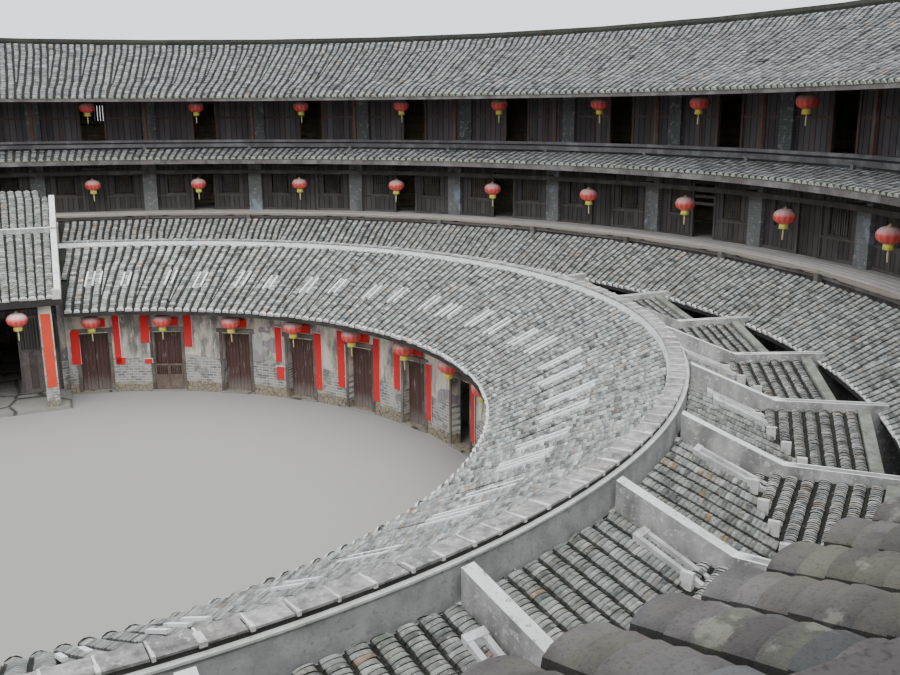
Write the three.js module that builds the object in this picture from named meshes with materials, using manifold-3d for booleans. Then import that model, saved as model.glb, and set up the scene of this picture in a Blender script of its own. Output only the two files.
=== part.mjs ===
// Tulou roundhouse: a round earth house with a lower ring of rooms and a hall in its court.
// Scale model at 1:2, in millimetres, +Z up, with the origin on the ground at the centre of the court.
// Angles are in degrees from +Y towards +X. The hall stands at 0 and the main gate at 180.

import * as THREE from 'three';
import Module from 'manifold-3d';
import { mergeVertices } from 'three/addons/utils/BufferGeometryUtils.js';

const wasm = await Module();
wasm.setup();

// Driving dimensions
const R = 11250;                // radius of the third floor timber wall
const BAYS = 30;
const BAY = 360 / BAYS;
const HALF_BAY = Math.PI / BAYS;
const GAP = 0.3;                // joint between pieces that touch
const WIDE = 20000;             // beyond the whole building

// Storey levels
const FLOOR_2 = 1360;
const FLOOR_3 = 2730;
const FLOOR_4 = 4228;
const FLOOR_THICK = 60;

// Outer wall and footing
const OUTER_R = 13600;
const OUTER_INNER_R = OUTER_R - 625;
const FOOTING_HIGH = 500;
const FOOTING_PROUD = 40;

// Main gate
const GATE_AT = 180;
const GATE_WIDE = 1000;
const GATE_SPRING = 900;        // height where the arch begins
const GATE_PASSAGE_HIGH = 1250;

// Slopes are rise over run
const main = { eaveR: 0.915 * R, eaveZ: 5175, ridgeR: 1.13 * R, ridgeZ: 6410, thick: 60 };
main.slope = (main.ridgeZ - main.eaveZ) / (main.ridgeR - main.eaveR);
main.outerEaveR = 14650;
const waist = { eaveR: 0.918 * R, eaveZ: 3908, endR: 10960, slope: 0.259, thick: 60 };
const lower = { eaveR: 0.844 * R, eaveZ: 2053, endR: 10486, slope: 0.535, thick: 70 };
const front = { eaveR: 0.503 * R, eaveZ: 1570, endR: 7575, slope: 0.479, thick: 70 };

// Upper walls and galleries
const LOWER_WALL_R = 0.94 * R;
const LOWER_WALL_THICK = 120;
const DECK_EDGE_R = 0.937 * R;
const GALLERY_EDGE_R = 0.9733 * R;
const TIMBER_THICK = 40;
const TOP_WALL_R = 1.045 * R;
const POST_R = 0.995 * R;
const POST_RADIUS = 50;
const POST_PLATE_FOOT = 5450;   // beam over the gallery posts
const TOP_PLATE_FOOT = 5600;    // head of the top floor piers

// Inner ring
const COURT_WALL_R = 0.543 * R;
const COURT_WALL_THICK = 150;
const DOOR_SHIFT = 0.03 * R;   // doorways stand this far past the middle of their bay
const DOOR_WIDE = 500;
const DOOR_HIGH = 1085;
const SILL_HIGH = 30;
const RIDGE_INNER_R = 0.6645 * R;
const RIDGE_OUTER_R = 7660;
const PARTY_THICK = 100;
const BACK_SLOPE = 0.404;
const BACK_TOP_Z = 2246;        // back roof at the ridge
const CAP_BEND_R = 0.752 * R;
const CAP_Z = 2150;             // level part of the party wall caps
const CAP_TOP_Z = 2480;         // party wall caps at the ridge

const group = new THREE.Group();

// Helpers for shapes

function onPlan(radius, degrees) {
  const angle = THREE.MathUtils.degToRad(degrees);
  return new THREE.Vector2(radius * Math.sin(angle), radius * Math.cos(angle));
}

function toSolid(geometry) {
  geometry.deleteAttribute('normal');
  geometry.deleteAttribute('uv');
  const merged = mergeVertices(geometry, 0.01);
  return new wasm.Manifold(new wasm.Mesh({
    numProp: 3,
    vertProperties: new Float32Array(merged.attributes.position.array),
    triVerts: new Uint32Array(merged.index.array),
  }));
}

function toGeometry(solid) {
  const mesh = solid.getMesh();
  const geometry = new THREE.BufferGeometry();
  geometry.setAttribute('position', new THREE.BufferAttribute(mesh.vertProperties, 3));
  geometry.setIndex(new THREE.BufferAttribute(mesh.triVerts, 1));
  geometry.computeVertexNormals();
  return geometry;
}

function join(solids) {
  return wasm.Manifold.union(solids);
}

function add(name, solid, material, parent = group) {
  const mesh = new THREE.Mesh(toGeometry(solid), material);
  mesh.name = name;
  parent.add(mesh);
  return mesh;
}

// A ring of a closed profile of [radius, height] points, listed anticlockwise, straight from pier to pier
function ring(profile) {
  const points = profile.map(([r, z]) => new THREE.Vector2(r, z));
  points.push(points[0].clone());
  const geometry = new THREE.LatheGeometry(points, BAYS, Math.PI / BAYS);
  geometry.rotateX(Math.PI / 2);
  return toSolid(geometry);
}

function plainRing(r0, r1, z0, z1) {
  return ring([[r0, z0], [r1, z0], [r1, z1], [r0, z1]]);
}

// An upright prism over a plan
function prism(points, z0, z1) {
  const shape = new THREE.Shape(points);
  const geometry = new THREE.ExtrudeGeometry(shape, { depth: z1 - z0, bevelEnabled: false });
  geometry.translate(0, 0, z0);
  return toSolid(geometry);
}

function floorRing(innerR, top) {
  return plainRing(innerR, OUTER_INNER_R - GAP, top - FLOOR_THICK, top);
}

function wedge(from, to) {
  const steps = Math.ceil((to - from) / 30);
  const rim = Array.from({ length: steps + 1 }, (_, i) => onPlan(WIDE, from + (to - from) * i / steps));
  return prism([new THREE.Vector2(0, 0), ...rim], -10, 8000);
}

// The quarters of a solid ring, each added as a piece of its own
const QUARTER_ENDS = [-42, 42, 138, 222, 318];

function addQuarters(name, solid, material) {
  for (let i = 0; i < QUARTER_ENDS.length - 1; i++) {
    const part = solid.intersect(wedge(QUARTER_ENDS[i] + 0.001, QUARTER_ENDS[i + 1] - 0.001));
    add(`${name}_${i + 1}`, part, material);
  }
}

// A box whose depth runs out from the centre at the given angle, moved sideways by a shift
function radialBox(degrees, r0, r1, wide, z0, z1, shift = 0) {
  const geometry = new THREE.BoxGeometry(wide, r1 - r0, z1 - z0);
  geometry.translate(shift, (r0 + r1) / 2, (z0 + z1) / 2);
  geometry.rotateZ(-THREE.MathUtils.degToRad(degrees));
  return toSolid(geometry);
}

// An upright plate that stands out from the centre at the given angle, of a [radius, height] outline
function radialPlate(degrees, thick, profile) {
  const shape = new THREE.Shape(profile.map(([r, z]) => new THREE.Vector2(r, z)));
  const geometry = new THREE.ExtrudeGeometry(shape, { depth: thick, bevelEnabled: false });
  geometry.translate(0, 0, -thick / 2);
  geometry.rotateX(Math.PI / 2);
  geometry.rotateZ(THREE.MathUtils.degToRad(90 - degrees));
  return toSolid(geometry);
}

const bays = Array.from({ length: BAYS }, (_, i) => i * BAY);
const piers = bays.map((middle) => middle + BAY / 2);

// Roof surfaces by radius
const mainTop = (r) => main.ridgeZ - main.slope * Math.abs(r - main.ridgeR);
const mainUnder = (r) => mainTop(r) - main.thick - GAP;
const pentTop = (roof, r) => roof.eaveZ + roof.slope * (r - roof.eaveR);
const pentUnder = (roof, r) => pentTop(roof, r) - roof.thick - GAP;

// Materials
const colour = (hex, roughness = 0.9) => new THREE.MeshStandardMaterial({ color: hex, roughness, flatShading: true });
const earth = colour(0xb49a72);
const stone = colour(0x8a8578);
const tile = colour(0x63676a);
const timber = colour(0x4a3b31);
const boards = colour(0x6b6258);
const brick = colour(0x86857c);
const plaster = colour(0xcfcdc4);
const doorWood = colour(0x4a2420, 0.7);
const lanternRed = colour(0xb02a20, 0.5);

// Outer wall

function archTool(wide, spring, r0, r1) {
  const half = wide / 2;
  const shape = new THREE.Shape();
  shape.moveTo(-half, -10);
  shape.lineTo(half, -10);
  shape.lineTo(half, spring);
  shape.absarc(0, spring, half, 0, Math.PI, false);
  shape.lineTo(-half, -10);
  const geometry = new THREE.ExtrudeGeometry(shape, { depth: r1 - r0, bevelEnabled: false, curveSegments: 8 });
  geometry.rotateX(Math.PI / 2);
  geometry.translate(0, -r0, 0);
  return toSolid(geometry);
}

const gateHole = archTool(GATE_WIDE, GATE_SPRING, OUTER_INNER_R - 400, OUTER_R + 400);

function makeFooting() {
  const footing = plainRing(OUTER_INNER_R, OUTER_R + FOOTING_PROUD, 0, FOOTING_HIGH);
  add('stone_footing', footing.subtract(gateHole), stone);
}

const WINDOW_WIDE = 260;
const WINDOW_HIGH = 360;

function makeOuterWall() {
  const z0 = FOOTING_HIGH + GAP;
  const wall = ring([
    [OUTER_INNER_R, z0], [OUTER_R, z0], [OUTER_R, mainUnder(OUTER_R)], [OUTER_INNER_R, mainUnder(OUTER_INNER_R)],
  ]);
  const window = (degrees, sill) => radialBox(
    degrees, OUTER_INNER_R - 100, OUTER_R + 100, WINDOW_WIDE, sill, sill + WINDOW_HIGH);
  const holes = [gateHole];
  for (const middle of bays) {
    holes.push(window(middle, FLOOR_4 + 450));
    if (middle % (2 * BAY) === 0) holes.push(window(middle, FLOOR_3 + 500));
  }
  addQuarters('outer_wall', wall.subtract(join(holes)), earth);
}

function makeGate() {
  const r0 = OUTER_R - 300;
  const outside = archTool(GATE_WIDE - 2 * GAP, GATE_SPRING, r0, OUTER_R + FOOTING_PROUD);
  const inside = archTool(GATE_WIDE - 200, GATE_SPRING - 20, r0 - 100, OUTER_R + 400);
  const below = radialBox(GATE_AT, r0 - 200, OUTER_R + 400, GATE_WIDE + 400, -500, 0);
  add('gate_frame', outside.subtract(inside).subtract(below), stone);
  const leafLong = GATE_WIDE / 2 - 60;
  for (const [side, name] of [[-1, 'gate_leaf_right'], [1, 'gate_leaf_left']]) {
    const geometry = new THREE.BoxGeometry(40, leafLong, GATE_SPRING - 10);
    geometry.translate(side * (GATE_WIDE / 2 - 24), -(r0 - GAP - leafLong / 2), (GATE_SPRING - 10) / 2);
    add(name, toSolid(geometry), doorWood);
  }
}

// Floors

function makeFloors() {
  const lowerBack = LOWER_WALL_R + LOWER_WALL_THICK + GAP;
  add('second_floor', floorRing(lowerBack, FLOOR_2), boards);
  add('third_floor_deck', floorRing(DECK_EDGE_R, FLOOR_3), boards);
  add('gallery_floor', floorRing(GALLERY_EDGE_R + GAP, FLOOR_4), boards);
}

// Court side of the outer ring

const PIER_FACE_R = R - 100;
const PIER_WIDE = 290;
const HEAD_HIGH = 170;

function makeLowerWall() {
  const wall = plainRing(
    LOWER_WALL_R, LOWER_WALL_R + LOWER_WALL_THICK, 0, FLOOR_3 - FLOOR_THICK - GAP);
  const holes = [];
  for (const middle of bays) {
    const door = middle === GATE_AT
      ? radialBox(middle, LOWER_WALL_R - 300, LOWER_WALL_R + 300, GATE_WIDE, -10, GATE_PASSAGE_HIGH)
      : radialBox(middle, LOWER_WALL_R - 300, LOWER_WALL_R + 60, DOOR_WIDE, SILL_HIGH, DOOR_HIGH);
    if (middle % (2 * BAY) || middle === GATE_AT) holes.push(door);
  }
  add('lower_front_wall', wall.subtract(join(holes)), brick);
}

const OPEN_DOORS_3 = [2, 4, 5, 7, 11, 14, 18, 21, 25, 28];
const OPEN_DOORS_4 = [7, 12, 17, 22, 26];
const SIDE_WINDOW_SHIFT = 606;  // either side of the middle of a bay

function makeThirdFloorWall() {
  const z0 = FLOOR_3 + GAP;
  const wall = plainRing(R, R + TIMBER_THICK, z0, FLOOR_4 - FLOOR_THICK - GAP);
  const holes = [];
  bays.forEach((middle, i) => {
    const depth = OPEN_DOORS_3.includes(i) ? 200 : TIMBER_THICK / 2;
    const face = R * Math.cos(THREE.MathUtils.degToRad(BAY / 2));
    holes.push(radialBox(middle, face - 200, face + depth, 460, z0 - 10, FLOOR_3 + 920));
    for (const side of [-1, 1]) {
      const shift = side * SIDE_WINDOW_SHIFT;
      holes.push(radialBox(middle, R - 300, R + 300, 380, FLOOR_3 + 380, FLOOR_3 + 785, shift));
    }
  });
  addQuarters('third_floor_wall', wall.subtract(join(holes)), timber);
}

function makeThirdFloorPiers() {
  const z0 = FLOOR_3 + GAP;
  const z1 = FLOOR_4 - FLOOR_THICK - GAP;
  const head = plainRing(PIER_FACE_R + 10, R - GAP, z1 - HEAD_HIGH, z1);
  const posts = piers.map((at) => radialBox(at, PIER_FACE_R, R + 20, PIER_WIDE, z0, z1 - HEAD_HIGH + 1));
  const behind = plainRing(R - GAP, R + 500, z0 - 10, z1 + 10);
  add('third_floor_piers', join([head, ...posts]).subtract(behind), brick);
}

const BEARER_R = 0.9605 * R;
const BEARER_TOP = 3640;

function makeGalleryBearer() {
  const r0 = BEARER_R;
  const r1 = BEARER_R + 60;
  const beam = plainRing(r0, r1, BEARER_TOP - 80, BEARER_TOP);
  const brackets = piers.map((at) => radialBox(
    at, r1 - 5, PIER_FACE_R - GAP, 50, BEARER_TOP - 60, BEARER_TOP - 5));
  add('gallery_bearer', join([beam, ...brackets]), timber);
}

function makeGalleryEdge() {
  const r0 = GALLERY_EDGE_R - 50;
  const r1 = GALLERY_EDGE_R;
  const foot = FLOOR_4 - 100;
  const rails = plainRing(r0, r1, foot, FLOOR_4 + 55);
  const wide = 60;
  const seat = pentTop(waist, r1 - 5 + wide / 2 * Math.tan(HALF_BAY)) + GAP;
  const stubs = piers.map((at) => radialBox(at, r0 + 5, r1 - 5, wide, seat, foot + 1));
  add('gallery_edge', join([rails, ...stubs]), boards);
}

function makeGalleryPosts() {
  const r0 = POST_R - 60;
  const r1 = POST_R + 60;
  const z0 = POST_PLATE_FOOT;
  const beam = ring([[r0, z0], [r1, z0], [r1, mainUnder(r1)], [r0, mainUnder(r0)]]);
  const logs = piers.map((at) => {
    const geometry = new THREE.CylinderGeometry(POST_RADIUS * 0.9, POST_RADIUS, z0 + 1 - FLOOR_4 - GAP, 6);
    geometry.rotateX(Math.PI / 2);
    const place = onPlan(POST_R, at);
    geometry.translate(place.x, place.y, (z0 + 1 + FLOOR_4 + GAP) / 2);
    return toSolid(geometry);
  });
  add('gallery_posts', join([beam, ...logs]), timber);
}

function makeTopFloorWall() {
  const r1 = TOP_WALL_R + TIMBER_THICK;
  const z0 = FLOOR_4 + GAP;
  const wall = ring([[TOP_WALL_R, z0], [r1, z0], [r1, mainUnder(r1)], [TOP_WALL_R, mainUnder(TOP_WALL_R)]]);
  const holes = bays.map((middle, i) => {
    const depth = OPEN_DOORS_4.includes(i) ? 200 : TIMBER_THICK / 2;
    return radialBox(middle, TOP_WALL_R - 200, TOP_WALL_R + depth, 500, z0 - 10, FLOOR_4 + 970);
  });
  add('top_floor_wall', wall.subtract(join(holes)), timber);
}

function makeTopFloorPiers() {
  const r0 = TOP_WALL_R - 90;
  const r1 = TOP_WALL_R - GAP;
  const z0 = FLOOR_4 + GAP;
  const z1 = TOP_PLATE_FOOT;
  const plate = ring([[r0, z1], [r1, z1], [r1, mainUnder(r1)], [r0, mainUnder(r0)]]);
  const posts = piers.map((at) => radialBox(at, r0, TOP_WALL_R + 20, 280, z0, z1 + 30));
  const behind = plainRing(r1, r1 + 500, z0 - 10, 7000);
  add('top_floor_piers', join([plate, ...posts]).subtract(behind), brick);
}

// Roofs of the outer ring

function makeMainRoof() {
  const lip = 85;               // from the top of the slab to the foot of the eave board
  const inner = ring([
    [main.eaveR + 20, mainTop(main.eaveR) - lip], [main.eaveR + 50, mainTop(main.eaveR) - lip],
    [main.eaveR + 50, mainTop(main.eaveR + 50) - main.thick],
    [main.ridgeR - GAP, main.ridgeZ - main.thick], [main.ridgeR - GAP, main.ridgeZ],
    [main.eaveR, mainTop(main.eaveR)], [main.eaveR, mainTop(main.eaveR) - main.thick],
    [main.eaveR + 20, mainTop(main.eaveR + 20) - main.thick],
  ]);
  add('main_roof_court_slope', inner, tile);
  const eave = main.outerEaveR;
  const outer = ring([
    [main.ridgeR + GAP, main.ridgeZ - main.thick], [eave - 50, mainTop(eave - 50) - main.thick],
    [eave - 50, mainTop(eave) - lip], [eave - 20, mainTop(eave) - lip],
    [eave - 20, mainTop(eave - 20) - main.thick], [eave, mainTop(eave) - main.thick], [eave, mainTop(eave)],
    [main.ridgeR + GAP, main.ridgeZ],
  ]);
  const half = 110;
  const cap = ring([
    [main.ridgeR - half, mainTop(main.ridgeR - half) + GAP], [main.ridgeR + GAP, main.ridgeZ + 2 * GAP],
    [main.ridgeR + GAP, main.ridgeZ - 1], [main.ridgeR + half, mainTop(main.ridgeR + half) - 1],
    [main.ridgeR + half, main.ridgeZ + 20], [main.ridgeR + half / 2, main.ridgeZ + 90],
    [main.ridgeR - half / 2, main.ridgeZ + 90], [main.ridgeR - half, main.ridgeZ + 20],
  ]);
  add('main_roof_outer_slope', outer.add(cap), tile);
}

function pentSlab(roof) {
  return ring([
    [roof.eaveR, roof.eaveZ - roof.thick], [roof.endR, pentTop(roof, roof.endR) - roof.thick],
    [roof.endR, pentTop(roof, roof.endR)], [roof.eaveR, roof.eaveZ],
  ]);
}

// The hall is a block between two planes that flare slightly outwards
const HALL_HALF = 0.101 * R;    // half its width at HALL_AT
const HALL_AT = 0.5 * R;
const HALL_FLARE = 0.068;
const hallX = (y, inset = 0) => HALL_HALF - inset + HALL_FLARE * (y - HALL_AT);

function hallPlan(y0, y1, inset) {
  return [
    new THREE.Vector2(-hallX(y0, inset), y0), new THREE.Vector2(hallX(y0, inset), y0),
    new THREE.Vector2(hallX(y1, inset), y1), new THREE.Vector2(-hallX(y1, inset), y1),
  ];
}

const hallRoom = prism(hallPlan(0.3 * R, LOWER_WALL_R - 20, -GAP), -20, 4000);

function makePentRoofs() {
  const board = plainRing(waist.eaveR + 10, waist.eaveR + 35, waist.eaveZ - waist.thick - 45, waist.eaveZ - 20);
  add('waist_roof', pentSlab(waist).add(board), tile);
  add('lower_roof', pentSlab(lower).subtract(hallRoom), tile);
}

// Inner ring

const COURT_FACE = COURT_WALL_R * Math.cos(HALF_BAY);
const COURT_WALL_ENDS = [0, 90, 186, 270, 360];
const FIXED_DOORS = Array.from({ length: BAYS }, (_, i) => i).filter((i) => i > 7 && i !== 15);

function makeCourtWall() {
  const r1 = COURT_WALL_R + COURT_WALL_THICK;
  const wall = ring([
    [COURT_WALL_R, 0], [r1, 0], [r1, pentUnder(front, r1)], [COURT_WALL_R, pentUnder(front, COURT_WALL_R)],
  ]);
  const doorway = (bay, depth) => radialBox(
    bay * BAY, COURT_FACE - 200, COURT_FACE + depth, DOOR_WIDE, SILL_HIGH, DOOR_HIGH, DOOR_SHIFT);
  const passage = radialBox(
    GATE_AT, COURT_FACE - 200, COURT_FACE + 400, GATE_WIDE, -10, GATE_PASSAGE_HIGH);
  const holes = [hallRoom, passage];
  for (let bay = 1; bay <= 7; bay++) holes.push(doorway(bay, 400));
  for (const bay of FIXED_DOORS) holes.push(doorway(bay, 90));
  const cutWall = wall.subtract(join(holes));
  for (let i = 0; i < COURT_WALL_ENDS.length - 1; i++) {
    const part = cutWall.intersect(wedge(COURT_WALL_ENDS[i] + 0.002, COURT_WALL_ENDS[i + 1] - 0.002));
    add(`court_wall_${i + 1}`, part, brick);
  }
}

function makeInnerRoof() {
  add('inner_front_roof', pentSlab(front).subtract(hallRoom), tile);
  const r0 = RIDGE_INNER_R;
  const r1 = front.endR + GAP;
  const ridge = ring([
    [r0, pentTop(front, r0) + GAP], [r1, pentTop(front, r1) + GAP], [r1, BACK_TOP_Z + GAP],
    [RIDGE_OUTER_R, BACK_TOP_Z + GAP], [RIDGE_OUTER_R, pentTop(front, r1) + 40], [r0, pentTop(front, r0) + 60],
  ]);
  add('inner_ridge', ridge.subtract(hallRoom), plaster);
}

// A party wall runs from the court wall to the lower front wall and carries every roof between them
function partyWall(at) {
  const r0 = COURT_WALL_R + COURT_WALL_THICK + GAP;
  const back = GAP + PARTY_THICK / 2 * Math.tan(HALF_BAY);
  const r1 = front.endR - back;
  const r2 = RIDGE_OUTER_R + GAP;
  const r3 = lower.eaveR - back;
  const r4 = lower.endR;
  const r5 = LOWER_WALL_R - back;
  return radialPlate(at, PARTY_THICK, [
    [r0, 0], [r5, 0], [r5, pentUnder(lower, r4)], [r4, pentUnder(lower, r4)], [r3, pentUnder(lower, r3)],
    [r3, CAP_Z], [CAP_BEND_R, CAP_Z], [r2, CAP_TOP_Z], [r2, BACK_TOP_Z], [r1, BACK_TOP_Z],
    [r1, pentUnder(front, r1)], [r0, pentUnder(front, r0)],
  ]);
}

const WING_THICK = 60;
const WING_END_R = 0.829 * R;
const WING_HIGH_Z = 0.1842 * R;
const WING_LOW_Z = 0.1488 * R;

// What lies under a plane over the plan of one bay, down to the ground
function underPlane(plan, slopeAcross, slopeOut, r0, z0, lowered) {
  const normal = new THREE.Vector3(-slopeAcross, -slopeOut, 1).negate();
  const offset = -(z0 - lowered - slopeOut * r0);
  return plan.trimByPlane([normal.x, normal.y, normal.z].map((v) => v / normal.length()), offset / normal.length());
}

// Roof of one bay: the back slope of the ring and the side wing's slope, which meet in a valley
function bayRoof(middle) {
  const half = BAY / 2;
  const plan = prism([
    onPlan(RIDGE_OUTER_R + 1, -half), onPlan(WING_END_R, -half), onPlan(WING_END_R, half),
    onPlan(RIDGE_OUTER_R + 1, half),
  ].reverse(), 500, 3500);
  const halfWide = WING_END_R * Math.sin(THREE.MathUtils.degToRad(half));
  const across = (WING_LOW_Z - WING_HIGH_Z) / (2 * halfWide);
  const wingMiddle = (WING_HIGH_Z + WING_LOW_Z) / 2;
  const under = (lowered) => underPlane(plan, 0, -BACK_SLOPE, RIDGE_OUTER_R * Math.cos(HALF_BAY), BACK_TOP_Z, lowered)
    .add(underPlane(plan, across, 0, 0, wingMiddle, lowered));
  const roof = under(0).subtract(under(WING_THICK));
  return roof.rotate([0, 0, -middle]);
}

const WING_GROUPS = [[18, 90], [102, 174], [186, 258], [270, 342]];

function makeWings() {
  WING_GROUPS.forEach(([first, last], i) => {
    const walls = [];
    for (let at = first; at <= last; at += BAY) walls.push(partyWall(at));
    const roofs = [];
    const firstRoof = i === 0 ? first - BAY / 2 : first + BAY / 2;
    for (let middle = firstRoof; middle <= last + BAY / 2; middle += BAY) roofs.push(bayRoof(middle));
    const next = i < WING_GROUPS.length - 1 ? partyWallRoom(last + BAY) : hallRoom;
    const wing = join([...walls, ...roofs]).subtract(next);
    add(`side_wings_${i + 1}`, i === 0 ? wing.subtract(hallRoom) : wing, plaster);
  });
}

function partyWallRoom(at) {
  return radialBox(at, COURT_WALL_R, LOWER_WALL_R, PARTY_THICK + 2 * GAP, -10, 4000)
    .add(wedge(at, at + 20));
}

// Door leaves turn on pins at the jambs, between the sill and the head of the doorway

const LEAF_CLEAR = 5;           // free space over and under a leaf
const MEETING_GAP = 6;          // between the two leaves of a door
const LEAF_THICK = 16;
const PIN_RADIUS = 7;
const PIN_TO_JAMB = 16;         // lets the corner of the leaf turn past the jamb
const LEAF_WIDE = (DOOR_WIDE - MEETING_GAP) / 2 - PIN_TO_JAMB + PIN_RADIUS;
const JOINTED_DOORS = [1, 2, 3, 4, 5, 6];
const HALF_GATE_BAY = 2;
const HALF_GATE_HIGH = 500;

function pin(low, high) {
  const geometry = new THREE.CylinderGeometry(PIN_RADIUS, PIN_RADIUS, high - low, 6);
  geometry.rotateX(Math.PI / 2);
  geometry.translate(0, 0, (low + high) / 2);
  return toSolid(geometry);
}

function leafBox(x0, x1, z0, z1, thick = LEAF_THICK) {
  const geometry = new THREE.BoxGeometry(x1 - x0, thick, z1 - z0);
  geometry.translate(-(x0 + x1) / 2 + PIN_RADIUS, 0, (z0 + z1) / 2);
  return toSolid(geometry);
}

// Puts a leaf drawn with its pin on the z axis into the doorway, at its left (-1) or right (1) jamb
function hangLeaf(solid, bay, side, r) {
  const jamb = DOOR_WIDE / 2 - PIN_TO_JAMB;
  const turned = side > 0 ? solid : solid.mirror([1, 0, 0]);
  return turned.translate([DOOR_SHIFT + side * jamb, r, 0]).rotate([0, 0, -bay * BAY]);
}

const SIDES = [[-1, 'left'], [1, 'right']];

function makeDoors() {
  const z0 = SILL_HIGH + LEAF_CLEAR;
  const z1 = DOOR_HIGH - LEAF_CLEAR;
  const plank = join([
    leafBox(0, LEAF_WIDE, z0, z1), pin(SILL_HIGH + GAP, z0 + 1), pin(z1 - 1, DOOR_HIGH - GAP),
  ]);
  for (const bay of JOINTED_DOORS) {
    for (const [side, name] of SIDES) {
      add(`door_${bay}_${name}`, hangLeaf(plank, bay, side, COURT_FACE + COURT_WALL_THICK - 30), doorWood);
    }
  }
}

// A low gate of spindles over a plank panel, in front of one door
function makeHalfGate() {
  const z0 = SILL_HIGH + LEAF_CLEAR;
  const panelTop = 300;
  const rail = 30;
  const stile = 24;
  const bars = [
    leafBox(0, LEAF_WIDE, z0, panelTop), leafBox(0, LEAF_WIDE, HALF_GATE_HIGH - rail, HALF_GATE_HIGH),
    leafBox(0, stile, z0, HALF_GATE_HIGH), leafBox(LEAF_WIDE - stile, LEAF_WIDE, z0, HALF_GATE_HIGH),
  ];
  const count = 5;
  const step = (LEAF_WIDE - 2 * stile) / (count + 1);
  for (let i = 1; i <= count; i++) {
    const middle = stile + i * step;
    bars.push(leafBox(middle - 5, middle + 5, panelTop - 1, HALF_GATE_HIGH - rail + 1, 10));
  }
  const gate = join([...bars, pin(SILL_HIGH + GAP, z0 + 1)]);
  for (const [side, name] of SIDES) {
    add(`half_gate_${name}`, hangLeaf(gate, HALF_GATE_BAY, side, COURT_FACE + 14), doorWood);
  }
}

// Hall

const HALL_EAVE_Y = 0.445 * R;
const HALL_EAVE_Z = 0.1715 * R;
const HALL_RIDGE_Y = 0.63 * R;
const HALL_RIDGE_Z = 0.249 * R;
const HALL_REAR_Y = 0.8 * R;
const HALL_REAR_Z = 0.3 * R;
const HALL_BACK_Y = 0.925 * R;
const HALL_BACK_SLOPE = 0.4;
const HALL_ROOF_THICK = 80;
const HALL_WALL = 120;
const HALL_ROOM_END = 0.895 * R;
const HALL_NOTCH_Y = 0.765 * R; // behind this the hall is narrower above the side roofs
const HALL_NOTCH_X = 0.098 * R;
const HALL_NOTCH_Z = 2600;
const HALL_SIDE = 0.14 * R;     // beyond the sides of the hall
const PLATFORM_HIGH = 60;
const PLATFORM_FRONT_Y = 0.452 * R;
const HALL_PIER_X = 0.0735 * R;
const HALL_PIER_Y = 0.4635 * R;
const HALL_PIER_WIDE = 200;
const SCREEN_Y = 0.553 * R;
const SCREEN_DOOR_HALF = 0.034 * R;
const SCREEN_HEAD = 1440;
const SCREEN_BEAM = 120;

const hallFrontSlope = (HALL_RIDGE_Z - HALL_EAVE_Z) / (HALL_RIDGE_Y - HALL_EAVE_Y);
const hallRearSlope = (HALL_REAR_Z - HALL_RIDGE_Z) / (HALL_REAR_Y - HALL_RIDGE_Y);
const hallFrontUnder = (y) => HALL_EAVE_Z - HALL_ROOF_THICK - GAP + hallFrontSlope * (y - HALL_EAVE_Y);
const hallRearUnder = (y) => HALL_RIDGE_Z - HALL_ROOF_THICK - GAP + hallRearSlope * (y - HALL_RIDGE_Y);
const hallBackZ = HALL_REAR_Z - HALL_BACK_SLOPE * (HALL_BACK_Y - HALL_REAR_Y);

// A block of a [y, height] outline between two planes across the hall
function hallPlate(x0, x1, profile) {
  const shape = new THREE.Shape(profile.map(([y, z]) => new THREE.Vector2(y, z)));
  const geometry = new THREE.ExtrudeGeometry(shape, { depth: x1 - x0, bevelEnabled: false });
  geometry.rotateX(Math.PI / 2);
  geometry.rotateZ(Math.PI / 2);
  geometry.translate(x0, 0, 0);
  return toSolid(geometry);
}

function hallBox(x0, x1, y0, y1, z0, z1) {
  const geometry = new THREE.BoxGeometry(x1 - x0, y1 - y0, z1 - z0);
  geometry.translate((x0 + x1) / 2, (y0 + y1) / 2, (z0 + z1) / 2);
  return toSolid(geometry);
}

function makeHallRoof(within, notch) {
  const t = HALL_ROOF_THICK;
  const roof = hallPlate(-HALL_SIDE, HALL_SIDE, [
    [HALL_EAVE_Y, HALL_EAVE_Z - t], [HALL_RIDGE_Y, HALL_RIDGE_Z - t], [HALL_REAR_Y, HALL_REAR_Z - t],
    [HALL_BACK_Y, hallBackZ - t], [HALL_BACK_Y, hallBackZ], [HALL_REAR_Y, HALL_REAR_Z],
    [HALL_RIDGE_Y, HALL_RIDGE_Z], [HALL_EAVE_Y, HALL_EAVE_Z],
  ]);
  add('hall_roof', roof.intersect(within).subtract(notch), tile);
}

function makeHallWalls(within, notch) {
  const wallFront = COURT_WALL_R;
  const block = hallPlate(-HALL_SIDE, HALL_SIDE, [
    [wallFront, 0], [HALL_BACK_Y, 0], [HALL_BACK_Y, hallBackZ - HALL_ROOF_THICK - GAP],
    [HALL_REAR_Y, hallRearUnder(HALL_REAR_Y)], [HALL_RIDGE_Y, hallRearUnder(HALL_RIDGE_Y)],
    [wallFront, hallFrontUnder(wallFront)],
  ]).intersect(within).subtract(notch);
  const roomHalf = HALL_NOTCH_X - HALL_WALL;
  const room = prism(hallPlan(0.3 * R, HALL_NOTCH_Y - HALL_WALL, HALL_WALL), -10, 5000)
    .add(hallBox(-roomHalf, roomHalf, 0.3 * R, HALL_ROOM_END, -10, 5000));
  add('hall_walls', block.subtract(room), plaster);
}

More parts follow.
